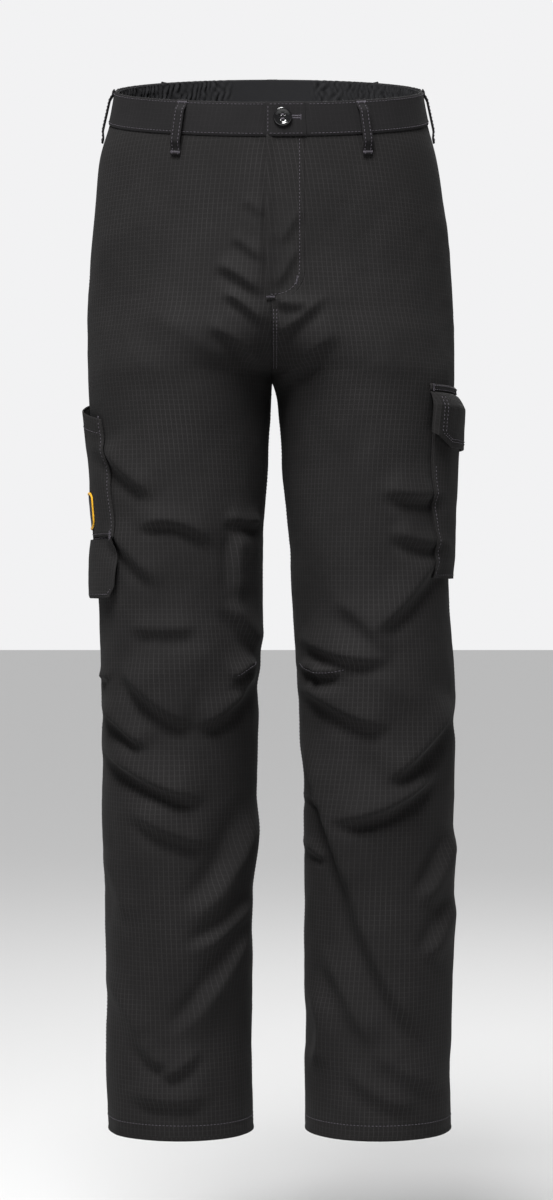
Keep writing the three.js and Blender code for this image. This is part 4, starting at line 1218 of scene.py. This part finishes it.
@dataclass
class Waistband(Assembly):
    """Front halves, the gathered back, its facing and elastics, and the stitching that holds them."""

    pleat: float = 6.6
    channels: tuple[float, ...] = (2.6, 12.5, 22.5, 32.2)

    def wave(self, side: Side, share: Array, drop: Array) -> Array:
        """Height of the gathers: a rippled sine along the band, flattened at each row of stitches.

        Args:
            side: the wearer's side.
            share, drop: where on the band.

        Returns:
            Distance outwards.
        """
        zone = ease((share - 1.03) / 0.05) * ease((1.84 - share) / 0.05)
        along = share * 232.0 + 2.6 * np.sin(share * 23.0 + side.value) + 1.4 * np.sin(drop * 0.22 + share * 40.0)
        held = np.ones_like(drop)
        for line in self.channels:
            held = held * (1 - 0.72 * np.exp(-((drop - line) / 2.2) ** 2))
        ripple = np.sin(2 * np.pi * along / self.pleat) + 0.45 * np.sin(2 * np.pi * along / (self.pleat * 1.73) + 1.1)
        return 1.5 * zone * held * ripple

    def strip(self, name: str, side: Side, share: Array, closed_start: bool, closed_end: bool,
              proud: float = 0.0, inner: float = 34.0) -> tuple[bpy.types.Object, Array]:
        """A length of band: its face, the roll over its top and its inner fold, closed at free ends.

        Args:
            name: the piece's name.
            side: the wearer's side.
            share: places along it.
            closed_start, closed_end: which ends are free and rounded off.
            proud: extra distance outwards.
            inner: how far down inside the inner fold reaches.

        Returns:
            The piece and the points of its face.
        """
        drop = np.concatenate([[34.9, 34.2], np.linspace(32.6, 2, 16), [0.5, -0.2, 0.4], np.linspace(2, inner, 10)])
        lift = np.concatenate([[0.8, 1.35], np.full(16, 1.6), [1.2, -0.3, -1.6], np.full(10, -2.1)])
        free = np.ones(len(share))
        pinch = np.array([0.0, 0.72, 0.95])
        if closed_start:
            free[:3] = pinch
            share = np.concatenate([[share[0], share[0] + 0.0006, share[0] + 0.004], share[3:]])
        if closed_end:
            free[-3:] = pinch[::-1]
            share = np.concatenate([share[:-3], [share[-1] - 0.004, share[-1] - 0.0006, share[-1]]])
        s = np.broadcast_to(share, (len(drop), len(share)))
        d = np.broadcast_to(drop[:, None], s.shape)
        z = self.skin.below_rim(side, s, d)
        off = -0.25 + (lift[:, None] + 0.25) * free[None] + proud + self.wave(side, s, d)
        points = self.skin.at(side, s, z, off)
        face = np.where(np.arange(len(drop)) < 20, 1.0, -1.0)[:, None, None]
        obj = surface(name, points, self.skin.normal(side, s, z) * face, None)
        return obj, points

    def sheet(self, name: str, side_shares: Sequence[tuple[Side, Array]], drops: Array, lift: float, wall: float,
              inwards: bool) -> tuple[bpy.types.Object, Array]:
        """A gathered band of cloth inside the waistband."""
        parts, outs = [], []
        for side, share in side_shares:
            s = np.broadcast_to(share, (len(drops), len(share)))
            d = np.broadcast_to(drops[:, None], s.shape)
            z = self.skin.below_rim(side, s, d)
            parts.append(self.skin.at(side, s, z, lift + self.wave(side, s, d)))
            outs.append(self.skin.normal(side, s, z) * (-1 if inwards else 1))
        points, out = np.concatenate(parts, 1), np.concatenate(outs, 1)
        return surface(name, points, out, None, wall, offset=0.0), points

    def build(self) -> None:
        """Builds every part of the band."""
        rows = []
        for side in Side:
            first = 6.2 if side is Side.RIGHT else FLY_HINGE + 0.4
            begin = float(self.skin.share_at(side, np.array(first), np.array(FLY_TOP + 18)))
            if side is Side.RIGHT:
                begin = float(self.skin.share_at(side, np.array(4.0), np.array(FLY_TOP + 18)))
            share = np.linspace(begin, 0.9985, 90)
            obj, points = self.strip(f"waistband_front_cloth_{side.word}", side, share, side is Side.RIGHT, False)
            self.dress(obj, BAND_CLOTH, "trousers", [f"waistband_front_{side.word}"])
            self.declare(obj, points, "folded", [f"front_panel_cloth_{side.word}"])
            around = np.linspace(begin + 0.01, 1.99, 900)
            for drop in (2.6, 32.2):
                z = self.skin.below_rim(side, around, drop)
                off = 1.65 + self.wave(side, around, np.full(900, drop))
                rows.append(self.row(side, around, z, off))
            for drop in self.channels[1:3]:
                around2 = np.linspace(1.04, 1.83, 420)
                z = self.skin.below_rim(side, around2, drop)
                rows.append(self.row(side, around2, z, 1.65 + self.wave(side, around2, np.full(420, drop))))
            for edge in (1.035, 1.84):
                drops = np.linspace(2, 33, 30)
                s = np.full(30, edge)
                rows.append(self.row(side, s, self.skin.below_rim(side, s, drops), 1.7))
            obj, points = self.sheet(f"waist_elastic_band_{side.word}", [(side, np.linspace(1.04, 1.8, 170))],
                                     np.linspace(33, 2.4, 12), -0.6, 1.0, False)
            self.dress(obj, ELASTIC, "trousers", [f"waist_elastic_{side.word}"])
            self.declare(obj, points, "stretched", ["waistband_back_cloth"])
        halves = [(Side.RIGHT, np.linspace(1.0015, 2.0, 240)), (Side.LEFT, np.linspace(2.0, 1.0015, 240)[1:])]
        self.back(halves)
        obj, points = self.sheet("waistband_facing_cloth", halves, np.concatenate([np.linspace(34, 2, 18), [1.0]]),
                                 -2.6, 0.8, True)
        self.dress(obj, LINING, "trousers", ["waistband_facing"])
        self.declare(obj, points, "gathered", ["waistband_back_cloth"], 1.1)
        self.sew("waistband_stitching", rows)

    def back(self, halves: Sequence[tuple[Side, Array]]) -> None:
        """The back band's face and its roll over the top, one cloth across the centre back."""
        drop = np.concatenate([[34.9, 34.2], np.linspace(32.6, 2, 16), [0.5, -0.2, 0.4, 2.0, 4.0]])
        lift = np.concatenate([[0.8, 1.35], np.full(16, 1.6), [1.2, 0.0, -1.3, -1.7, -1.8]])
        parts, outs = [], []
        for side, share in halves:
            s = np.broadcast_to(share, (len(drop), len(share)))
            d = np.broadcast_to(drop[:, None], s.shape)
            z = self.skin.below_rim(side, s, d)
            parts.append(self.skin.at(side, s, z, lift[:, None] + self.wave(side, s, d)))
            face = np.where(np.arange(len(drop)) < 19, 1.0, -1.0)[:, None, None]
            outs.append(self.skin.normal(side, s, z) * face)
        points = np.concatenate(parts, 1)
        obj = surface("waistband_back_cloth", points, np.concatenate(outs, 1), None)
        self.dress(obj, BAND_CLOTH, "trousers", ["waistband_back"])
        self.declare(obj, points, "gathered", ["back_panel_cloth_right", "back_panel_cloth_left"], 1.1)


@dataclass
class BeltLoops(Assembly):
    """Seven belt loops: folded strips, two rows of stitches and a bartack at each end."""

    width: float = 11.0
    gap: float = 5.0
    side_gap: float = 2.2
    below: float = 21.0

    def build(self) -> None:
        """Builds the loops, then their stitching as one piece."""
        rows = []
        for side in Side:
            front = float(self.skin.share_at(side, np.array(91.0), np.array(-31.8)))
            for word, share, gap in (("front", front, self.gap), ("side", 1.0, self.side_gap),
                                     ("back", 1.5, self.gap)):
                rows += self.loop(f"belt_loop_{word}_{side.word}", side, share, gap)
        rows += self.loop("belt_loop_back_centre", Side.LEFT, 2.0, self.gap)
        self.sew("belt_loop_stitching", rows)

    def loop(self, node: str, side: Side, share: float, gap: float) -> list[tuple[Array, Array, Array]]:
        """One loop, which rises off the band as gap times an eased bump along its length.

        Args:
            node: the CAD node that it stands for.
            side, share: where it is sewn.
            gap: how far its middle stands off the band.

        Returns:
            Its rows of stitches.
        """
        at = lambda drop: (np.array([share]), self.skin.below_rim(side, np.array([share]), drop))
        top, bottom = self.skin.bare(side, *at(0.0))[0], self.skin.bare(side, *at(BAND + self.below))[0]
        up = unit(top - bottom)
        outward = unit(self.skin.normal(side, *at(0.0))[0] + self.skin.normal(side, *at(BAND + self.below))[0])
        across = unit(np.cross(up, outward))
        away = unit(np.cross(across, up))
        height = float(np.linalg.norm(top - bottom))
        down = np.concatenate([[-0.6, -0.2], np.linspace(0.6, height, 44)])
        bump = ease((down - 3.5) / 9.0) * ease((height - 4.0 - down) / 10.0)
        depth = 2.5 + gap * bump + np.where(down < 0, -1.2 + (down + 0.6) * 1.5, 0.0)
        t = np.linspace(-1, 1, 11)
        crown = 0.35 * (1 - t**4)
        points = (top + across * (t[None, :, None] * self.width / 2) - up * down[:, None, None]
                  + away * (depth[:, None, None] + crown[None, :, None]))
        obj = surface(f"{node}_cloth", points, away, None, 1.5)
        self.dress(obj, BAND_CLOTH, "trousers", [node])
        rows = []
        normal = np.broadcast_to(away, (len(down), 3))
        for shift in (-3.4, 3.4):
            path = top + across * shift - up * down[:, None] + away * (depth + 0.42)[:, None]
            rows.append(THREAD.place(path[2:], normal[2:]))
        for place in (2.6, height - 2.6):
            here = top - up * place + away * (float(np.interp(place, down, depth)) + 0.4)
            rows.append(THREAD.bar(here, across, away, self.width - 1.0, 2.6))
        return rows


@dataclass
class RulePocket(Assembly):
    """The folding-rule pocket on the wearer's right thigh, its free lower end and its patch."""

    front: float = 0.19
    flare: float = 0.06
    back: float = 0.15
    turn: float = 18.0  # height over which the free end bends
    mouth_front: float = CROTCH - 48
    mouth_back: float = CROTCH - 22
    stitch: float = CROTCH - 172
    bottom: float = CROTCH - 234
    gape: float = 6.0

    def share(self, across: Array, z: Array) -> Array:
        """Share of a point across the pocket, which widens towards its stitched lower end."""
        down = np.clip((self.mouth_front - z) / (self.mouth_front - self.stitch), 0, 1.1)
        front = 1 - self.front - self.flare * down
        return front + across * (1 + self.back - front)

    def bulge(self, across: Array, row: Array) -> Array:
        """How far the wall stands off the leg: 1.2 + gape sin(pi a)^0.6 (1 - row)^0.7."""
        return 1.2 + self.gape * np.maximum(np.sin(np.pi * np.clip(across, 0, 1)), 0) ** 0.6 * (1 - row) ** 0.7

    def wall(self, across: Array, row: Array) -> tuple[Array, Array]:
        """Share and height of a point of the wall."""
        mouth = self.mouth_front + across * (self.mouth_back - self.mouth_front)
        z = mouth + row * (self.stitch + 0.4 - mouth)
        return self.share(across, z), z

    def build(self) -> None:
        """Builds the wall, the free end, the patch and their stitching."""
        across, row = np.meshgrid(np.linspace(0, 1, 44),
                                  np.concatenate([[0, 0.004, 0.012], np.linspace(0.03, 1, 52)]))
        share, z = self.wall(across, row)
        roll = np.array([0.0, 0.7, 1.0] + [1.0] * 52)[:, None]
        points = self.skin.at(Side.RIGHT, share, z, self.bulge(across, row) + 1.1 * roll)
        normal = self.skin.normal(Side.RIGHT, share, z)
        obj = surface("rule_pocket_wall", points, normal, None, 1.6)
        self.dress(obj, RIPSTOP, "trousers", ["rule_pocket_upper"])
        self.declare(obj, points, "hung", ["front_panel_cloth_right", "back_panel_cloth_right"])
        self.stitching()
        self.free_end()
        self.patch()

    def stitching(self) -> None:
        """Hem row under the mouth, a row down each edge, a double row across and the bartacks."""
        rows = []
        line = np.linspace(0.02, 0.98, 60)
        for row in (0.125, 0.965, 1.0):
            share, z = self.wall(line, np.full(60, row))
            rows.append(self.row(Side.RIGHT, share, z, self.bulge(line, np.full(60, row)) + 1.15))
        down = np.linspace(0.02, 1.0, 90)
        for edge in (0.035, 0.965):
            share, z = self.wall(np.full(90, edge), down)
            rows.append(self.row(Side.RIGHT, share, z, self.bulge(np.full(90, edge), down) + 1.15))
        for across, row in ((0.05, 0.02), (0.95, 0.02), (0.05, 0.98), (0.95, 0.98)):
            share, z = self.wall(np.array([across]), np.array([row]))
            rows.append(self.tack(Side.RIGHT, float(share[0]), float(z[0]), (0, 0, 1), 9.0, 2.6, 3.0))
        self.sew("rule_pocket_stitching", rows)

    def free_end(self) -> None:
        """The pouch's lower end: a flattened ring of cloth, closed at the bottom with a clipped front corner."""
        turn = np.linspace(0, 2 * np.pi, 89)[:-1]
        row = np.concatenate([np.linspace(0, 0.94, 30), [0.97, 0.99, 1.0]])
        across = 0.5 - 0.5 * np.cos(turn)
        clip = 12.0 * np.clip(1 - across / 0.07, 0, 1)
        low = self.bottom + clip
        z = (self.stitch - 0.4) + row[:, None] * (low - self.stitch + 0.4)[None]
        a = np.broadcast_to(across, z.shape)
        swell = 1 + 0.7 * np.sin(np.pi * row[:, None]) * np.sin(np.pi * a)
        close = np.concatenate([np.ones(30), [0.75, 0.45, 0.1]])[:, None]
        lift = 1.5 + 5.2 * row[:, None] + 1.9 + 1.7 * np.sin(turn)[None] * swell * close
        s = self.share(a, z)
        points = self.skin.at(Side.RIGHT, s, z, lift)
        out = self.skin.normal(Side.RIGHT, s, z) * np.sign(np.sin(turn) + 1e-6)[None, :, None]
        obj = surface("rule_pocket_end_cloth", points, out, None, loop=True)
        self.dress(obj, RIPSTOP, None, ["rule_pocket_end"])
        self.hang(obj)
        self.declare(obj, points[:, :45], "hung", ["rule_pocket_wall"], 2.0)
        rows = []
        line = np.linspace(0.2, 0.97, 50)
        up = 4.0
        zz = self.bottom + up
        r = (self.stitch - zz) / (self.stitch - self.bottom)
        arch = 1.7 * np.sin(2 * np.arcsin(np.sqrt(line)))
        rows.append(self.row(Side.RIGHT, self.share(line, np.full(50, zz)), np.full(50, zz),
                             1.5 + 5.2 * r + 1.9 + 0.9 * arch + 0.15))
        line = np.linspace(0.035, 0.2, 14)
        zz = self.bottom + 4.0 + 12.0 * np.clip(1 - line / 0.09, 0, 1)
        r = (self.stitch - zz) / (self.stitch - self.bottom)
        arch = 1.7 * np.sin(2 * np.arcsin(np.sqrt(line)))
        rows.append(self.row(Side.RIGHT, self.share(line, zz), zz, 1.5 + 5.2 * r + 1.9 + arch + 0.2))
        self.hang(self.sew("rule_pocket_end_stitching", rows, None))

    def hang(self, obj: bpy.types.Object) -> None:
        """Bakes a piece's transform into its mesh; nothing here bends the free end."""
        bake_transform(obj)

    def patch(self) -> None:
        """A plain woven patch with a merrowed edge: a rounded rectangle |x/a|^5 + |z/b|^5 = 1."""
        level = self.stitch + 30.0
        turn = np.linspace(0, 2 * np.pi, 97)[:-1]
        shape = (np.abs(np.cos(turn)) ** 5 + np.abs(np.sin(turn)) ** 5) ** (-1 / 5)
        edge = np.stack([15.0 * shape * np.cos(turn), 19.0 * shape * np.sin(turn)], -1)

        def place(flat: Array, lift: Array | float) -> tuple[Array, Array]:
            """Points and normals of flat patch coordinates on the pocket's wall."""
            share = 1 + flat[..., 0] / 146.0
            z = level + flat[..., 1]
            across = (share - self.share(np.zeros_like(z), z)) / (1 + self.back - self.share(np.zeros_like(z), z))
            row = np.clip((self.mouth_front - z) / (self.mouth_front - self.stitch), 0, 1)
            off = self.bulge(across, row) + 1.1 + lift
            return self.skin.at(Side.RIGHT, share, z, off), self.skin.normal(Side.RIGHT, share, z)

        rings = np.linspace(1, 0, 16)[:, None, None] * edge[None]
        points, normal = place(rings, 0.8)
        uv = rings.copy()
        field_obj = surface("badge_patch_field", points, normal, uv, loop=True)
        self.dress(field_obj, PATCH_FIELD, "trousers", ["badge_patch"])
        around = np.linspace(0, 2 * np.pi, 13)[:-1]
        centre, out = place(edge * 0.965, 0.75)
        side = unit(np.roll(centre, -1, 0) - np.roll(centre, 1, 0))
        wide = unit(np.cross(side, out))
        ring = (centre[None] + 1.5 * np.cos(around)[:, None, None] * wide[None]
                + 0.95 * np.sin(around)[:, None, None] * out[None])
        ring = np.concatenate([ring, ring[:1]], 0)
        far = np.arange(96) * (2 * (30 + 38) / 96)
        uv = np.stack(np.broadcast_arrays(far[None], np.arange(13)[:, None].astype(float)), -1)
        out_ring = ring - centre[None]
        edge_obj = surface("badge_patch_edge", ring, out_ring, uv, loop=True)
        self.dress(edge_obj, PATCH_EDGE, "trousers")


@dataclass
class CargoPocket(Assembly):
    """The bellows pocket on the wearer's left thigh with its flap, band and touch fasteners."""

    front: float = 0.77
    back: float = 1.31
    mouth: float = CROTCH - 33
    bottom: float = CROTCH - 213
    overhang: float = 0.03
    flap_top: float = CROTCH - 20
    flap_bottom: float = CROTCH - 77
    clip: float = 14.0
    turn: float = 24.0  # height over which the flap bends

    def build(self) -> None:
        """Builds face, bellows, flap, band, fasteners and stitching."""
        self.front_face()
        self.bellows()
        self.flap()
        self.strips()

    def sag(self, share: Array, z: Array) -> Array:
        """The face's lift: pressed low at its front edge, full in the middle, lower towards the bottom."""
        t = (share - self.front) / (self.back - self.front)
        down = np.clip((self.mouth - z) / (self.mouth - self.bottom), 0, 1)
        edge = ease(t / 0.16) * ease((1 - t) / 0.16)
        foot = ease((1 - down) / 0.12)
        return 3.6 + 4.6 * edge * (0.55 + 0.45 * foot) - 1.0 * down

    def front_face(self) -> None:
        """The pocket's face: one sheet with a hemmed mouth and a pressed crease along its edges."""
        t, down = np.meshgrid(np.linspace(0, 1, 66), np.linspace(0, 1, 62))
        share = self.front + t * (self.back - self.front)
        z = self.mouth + down * (self.bottom - self.mouth)
        points = self.skin.at(Side.LEFT, share, z, self.sag(share, z))
        obj = surface("cargo_pocket_face_cloth", points, self.skin.normal(Side.LEFT, share, z), None, 1.5)
        self.dress(obj, RIPSTOP, "trousers", ["cargo_pocket_face"])
        self.declare(obj, points, "hung", ["cargo_pocket_bellows_cloth"])
        rows = []
        level = np.linspace(self.mouth - 62, self.bottom + 3, 60)
        inset = 0.014
        for s in (self.front + inset, self.back - inset):
            rows.append(self.row(Side.LEFT, np.full(60, s), level, self.sag(np.full(60, s), level) + 0.1))
        across = np.linspace(self.front + 0.012, self.back - 0.012, 60)
        up = 3.0
        z = np.full(60, self.bottom + up)
        rows.append(self.row(Side.LEFT, across, z, self.sag(across, z) + 0.1))
        z = np.full(60, self.mouth - 20.0)
        rows.append(self.row(Side.LEFT, across, z, self.sag(across, z) + 0.1))
        self.sew("cargo_pocket_stitching", rows)

    def bellows(self) -> None:
        """The gusset: a zigzag section carried down the front edge, along the bottom and up the back."""
        inset = np.array([0.0, -0.004, -0.026, -0.03, -0.02, -0.003, 0.0, 0.0])
        rise = np.array([0.16, 0.3, 0.45, 0.57, 0.69, 0.83, 0.93, 1.0])
        legs = 50
        s = np.concatenate([np.full(legs, self.front), np.linspace(self.front, self.back, 60)[1:-1],
                            np.full(legs, self.back)])
        z = np.concatenate([np.linspace(self.mouth, self.bottom, legs), np.full(58, self.bottom),
                            np.linspace(self.bottom, self.mouth, legs)])
        toward_s = np.concatenate([np.full(legs, 1.0), np.zeros(58), np.full(legs, -1.0)])
        toward_z = np.concatenate([np.zeros(legs), np.full(58, 1.0), np.zeros(legs)])
        share = s[None] - inset[:, None] * toward_s[None] * 0.8
        height = z[None] - inset[:, None] * toward_z[None] * SHARE_MM
        reach = self.sag(s, z)[None]
        points = self.skin.at(Side.LEFT, share, height, rise[:, None] * reach)
        middle = self.skin.at(Side.LEFT, np.array([[1.05]]), np.array([[(self.mouth + self.bottom) / 2]]), 2.0)
        obj = surface("cargo_pocket_bellows_cloth", points, points - middle, None, 1.1, offset=0.0)
        self.dress(obj, RIPSTOP, "trousers", ["cargo_pocket_bellows"])
        self.declare(obj, points, "folded", ["front_panel_cloth_left", "back_panel_cloth_left"])

    def flap_lift(self, drop: Array) -> Array:
        """How far the flap stands off the leg: 1.6 + 10.4 (drop / 14)^0.6, level below that."""
        return 1.6 + 10.4 * np.minimum(1.0, np.maximum(drop, 0) / 14.0) ** 0.6

    def flap_edge(self, share: Array) -> Array:
        """Height of the flap's lower edge, which rises in a straight line at its clipped corners."""
        a, b = self.front - self.overhang, self.back + self.overhang
        corner = self.clip / SHARE_MM
        near = np.minimum(share - a, b - share)
        return self.flap_bottom + self.clip * np.clip(1 - near / corner, 0, 1)

    def flap(self) -> None:
        """The flap: a doubled sheet with rounded edges, stitched inside them."""
        a, b = self.front - self.overhang, self.back + self.overhang
        t = np.linspace(0, 1, 80)
        share = np.broadcast_to(a + t * (b - a), (34, 80))
        row = np.linspace(0, 1, 34)[:, None]
        z = self.flap_top + row * (self.flap_edge(share) - self.flap_top)
        drop = self.flap_top - z
        soft = 1 - 0.5 * (1 - ease(np.minimum(t, 1 - t) / 0.03))
        points = self.skin.at(Side.LEFT, share, z, self.flap_lift(drop) * soft + 0.6)
        obj = surface("cargo_flap_cloth", points, self.skin.normal(Side.LEFT, share, z), None, 2.0)
        bevel = obj.modifiers.new("edge", "BEVEL")
        bevel.width, bevel.segments, bevel.limit_method = 0.6 * MM, 2, "ANGLE"
        self.dress(obj, RIPSTOP, None, ["cargo_flap"])
        self.hang(obj)
        self.declare(obj, points, "hung", ["cargo_flap_band_cloth"])
        rows = []
        for inset in (5.0, 7.6):
            inner = np.linspace(a + inset / 150, b - inset / 150, 70)
            zz = self.flap_edge(inner) + inset + 1.0
            for s0 in (inner[0], inner[-1]):
                down = np.linspace(self.flap_top - 3, self.flap_edge(np.array(s0)) + inset + 1, 26)
                rows.append(self.row(Side.LEFT, np.full(26, s0), down, self.flap_lift(self.flap_top - down) + 0.7))
            rows.append(self.row(Side.LEFT, inner, zz, self.flap_lift(self.flap_top - zz) + 0.75))
        self.hang(self.sew("cargo_flap_stitching", rows, None))
        self.band(a, b)

    def hang(self, obj: bpy.types.Object) -> None:
        """Bakes a piece's transform into its mesh; nothing here bends the flap."""
        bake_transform(obj)

    def band(self, a: float, b: float) -> None:
        """The sewn strip that the flap hangs from."""
        share, z = np.meshgrid(np.linspace(a, b, 70), np.linspace(self.flap_top + 8, self.flap_top + 0.4, 7))
        edge = np.array([0.2, 0.8, 1, 1, 1, 0.9, 0.6])[:, None]
        points = self.skin.at(Side.LEFT, share, z, 0.8 + 1.8 * edge)
        obj = surface("cargo_flap_band_cloth", points, self.skin.normal(Side.LEFT, share, z), None, 1.6)
        self.dress(obj, RIPSTOP, "trousers", ["cargo_flap_band"])
        self.declare(obj, points, "folded", ["front_panel_cloth_left"])
        line = np.linspace(a + 0.01, b - 0.01, 70)
        rows = [self.row(Side.LEFT, line, np.full(70, self.flap_top + up), 2.7) for up in (2.0, 6.2)]
        for s in (a + 0.012, b - 0.012):
            rows.append(self.tack(Side.LEFT, s, self.flap_top + 4, (0, 0, 1), 7.0, 2.4, 2.8))
        self.sew("cargo_band_stitching", rows)

    def strips(self) -> None:
        """Loop tape on the pocket's face and hook tape under the flap."""
        middle = (self.front + self.back) / 2
        for name, lift, body in (("flap_loop_strip", 8.9, "trousers"), ("flap_hook_strip", 10.1, "pocket_flap")):
            share, z = np.meshgrid(np.linspace(middle - 0.07, middle + 0.07, 20),
                                   np.linspace(self.mouth - 13, self.mouth - 37, 16))
            points = self.skin.at(Side.LEFT, share, z, lift)
            obj = surface(f"{name}_tape", points, self.skin.normal(Side.LEFT, share, z), None, 0.6, offset=0.0)
            self.dress(obj, TOUCH, body, [name])
            under = "cargo_pocket_face_cloth" if body == "trousers" else "cargo_flap_cloth"
            self.declare(obj, points, "laid", [under])


@dataclass
class HipBags(Assembly):
    """The bags of the hip pockets, hung inside the side seams."""

    def build(self) -> None:
        """Two sheets of pocketing that curve with the hips and end in a rounded corner."""
        for side in Side:
            t, row = np.meshgrid(np.linspace(0, 1, 46), np.linspace(0, 1, 52))
            share = 0.42 + t * 0.55
            low = -285.0 + 34.0 * np.clip(1 - t / 0.3, 0, 1) ** 2
            z = -100.0 + row * (low + 100.0)
            p = self.skin.bare(side, share, z)
            points = self.skin.at(side, share, z, -4.2 + 0.8 * SMALL(p, 26.0))
            obj = surface(f"hip_pocket_bag_cloth_{side.word}", points, -self.skin.normal(side, share, z), None, 0.9,
                          offset=0.0)
            self.dress(obj, LINING, "trousers", [f"hip_pocket_bag_{side.word}"])
            self.declare(obj, points, "hung", [f"front_panel_cloth_{side.word}"])


@dataclass
class Studio:
    """Flat pale floor, soft lights and the camera."""

    distance: float = 3.0
    level: float = -0.54
    shown: float = 1.272  # height of the view at the trousers' middle, in metres

    def build(self) -> None:
        """Sets up floor, light and camera."""
        self.floor()
        self.light("key", (-0.35, -1.5, 1.7), (0, 0, -0.45), 0.9, 92)
        self.light("back", (0.9, 2.6, 1.6), (0, 0, -0.5), 1.6, 30)
        self.sun((-0.16, -0.36, 1.0), 1.9)
        self.room()
        lens = bpy.data.cameras.new("camera")
        lens.sensor_fit, lens.sensor_height = "VERTICAL", 36.0
        lens.lens = 36.0 * self.distance / self.shown
        camera = bpy.data.objects.new("camera", lens)
        camera.location = (0.005, -self.distance, self.level)
        camera.rotation_euler = (math.pi / 2, 0, 0)
        bpy.context.scene.collection.objects.link(camera)
        bpy.context.scene.camera = camera
        bpy.context.scene.view_settings.view_transform = "Standard"

    def light(self, name: str, place: tuple[float, float, float], aim: tuple[float, float, float], size: float,
              power: float) -> None:
        """A square soft light that faces a point."""
        lamp = bpy.data.lights.new(name, "AREA")
        lamp.shape, lamp.size, lamp.energy = "SQUARE", size, power
        obj = bpy.data.objects.new(name, lamp)
        obj.location = place
        obj.rotation_euler = (Vector(aim) - Vector(place)).to_track_quat("-Z", "Y").to_euler()
        bpy.context.scene.collection.objects.link(obj)

    def sun(self, place: tuple[float, float, float], power: float) -> None:
        """A broad, nearly overhead light that picks out the upper side of each fold."""
        lamp = bpy.data.lights.new("overhead", "SUN")
        lamp.energy, lamp.angle = power, math.radians(16)
        obj = bpy.data.objects.new("overhead", lamp)
        obj.rotation_euler = Vector(place).to_track_quat("Z", "Y").to_euler()
        bpy.context.scene.collection.objects.link(obj)

    def room(self) -> None:
        """A pale room: bright where it is seen, dimmer as light, so that folds keep their shadows."""
        world = bpy.data.worlds.new("room")
        world.use_nodes = True
        tree = world.node_tree
        tree.nodes.clear()
        seen = add(tree, "ShaderNodeLightPath").outputs["Is Camera Ray"]
        power = add(tree, "ShaderNodeMapRange", {0: seen, 3: 0.15, 4: 0.92}).outputs[0]
        sky = add(tree, "ShaderNodeBackground", {"Color": linear("#fbfbfc"), "Strength": power})
        add(tree, "ShaderNodeOutputWorld", {"Surface": sky.outputs[0]})
        bpy.context.scene.world = world

    def floor(self) -> None:
        """A flat floor 80 m across, 1.3 m below the waist."""
        x = np.linspace(-40000, 40000, 9)
        points = np.stack(np.broadcast_arrays(x[None], x[:, None], np.array(-1300.0)), -1)
        obj = surface("studio_floor", points, np.array([0.0, 0.0, 1.0]), None)
        Finish("backdrop_paper_matt", "stage", "#dcdcdc", 0.9, 0.0).build()
        obj.data.materials.append(bpy.data.materials["backdrop_paper_matt"])


def main() -> None:
    """Builds the trousers piece by piece, then the studio."""
    logging.basicConfig(level=logging.INFO, format="%(name)s: %(message)s")
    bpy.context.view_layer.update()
    skin = Skin(FRONT_FOLDS, BACK_FOLDS)
    legs = Legs(skin)
    for part in (legs, Fly(skin, legs=legs), WaistButton(skin), Waistband(skin), BeltLoops(skin), RulePocket(skin),
                 CargoPocket(skin), HipBags(skin)):
        part.build()
        LOG.info("built %s", type(part).__name__)
    Studio().build()


if __name__ == "__main__":
    main()
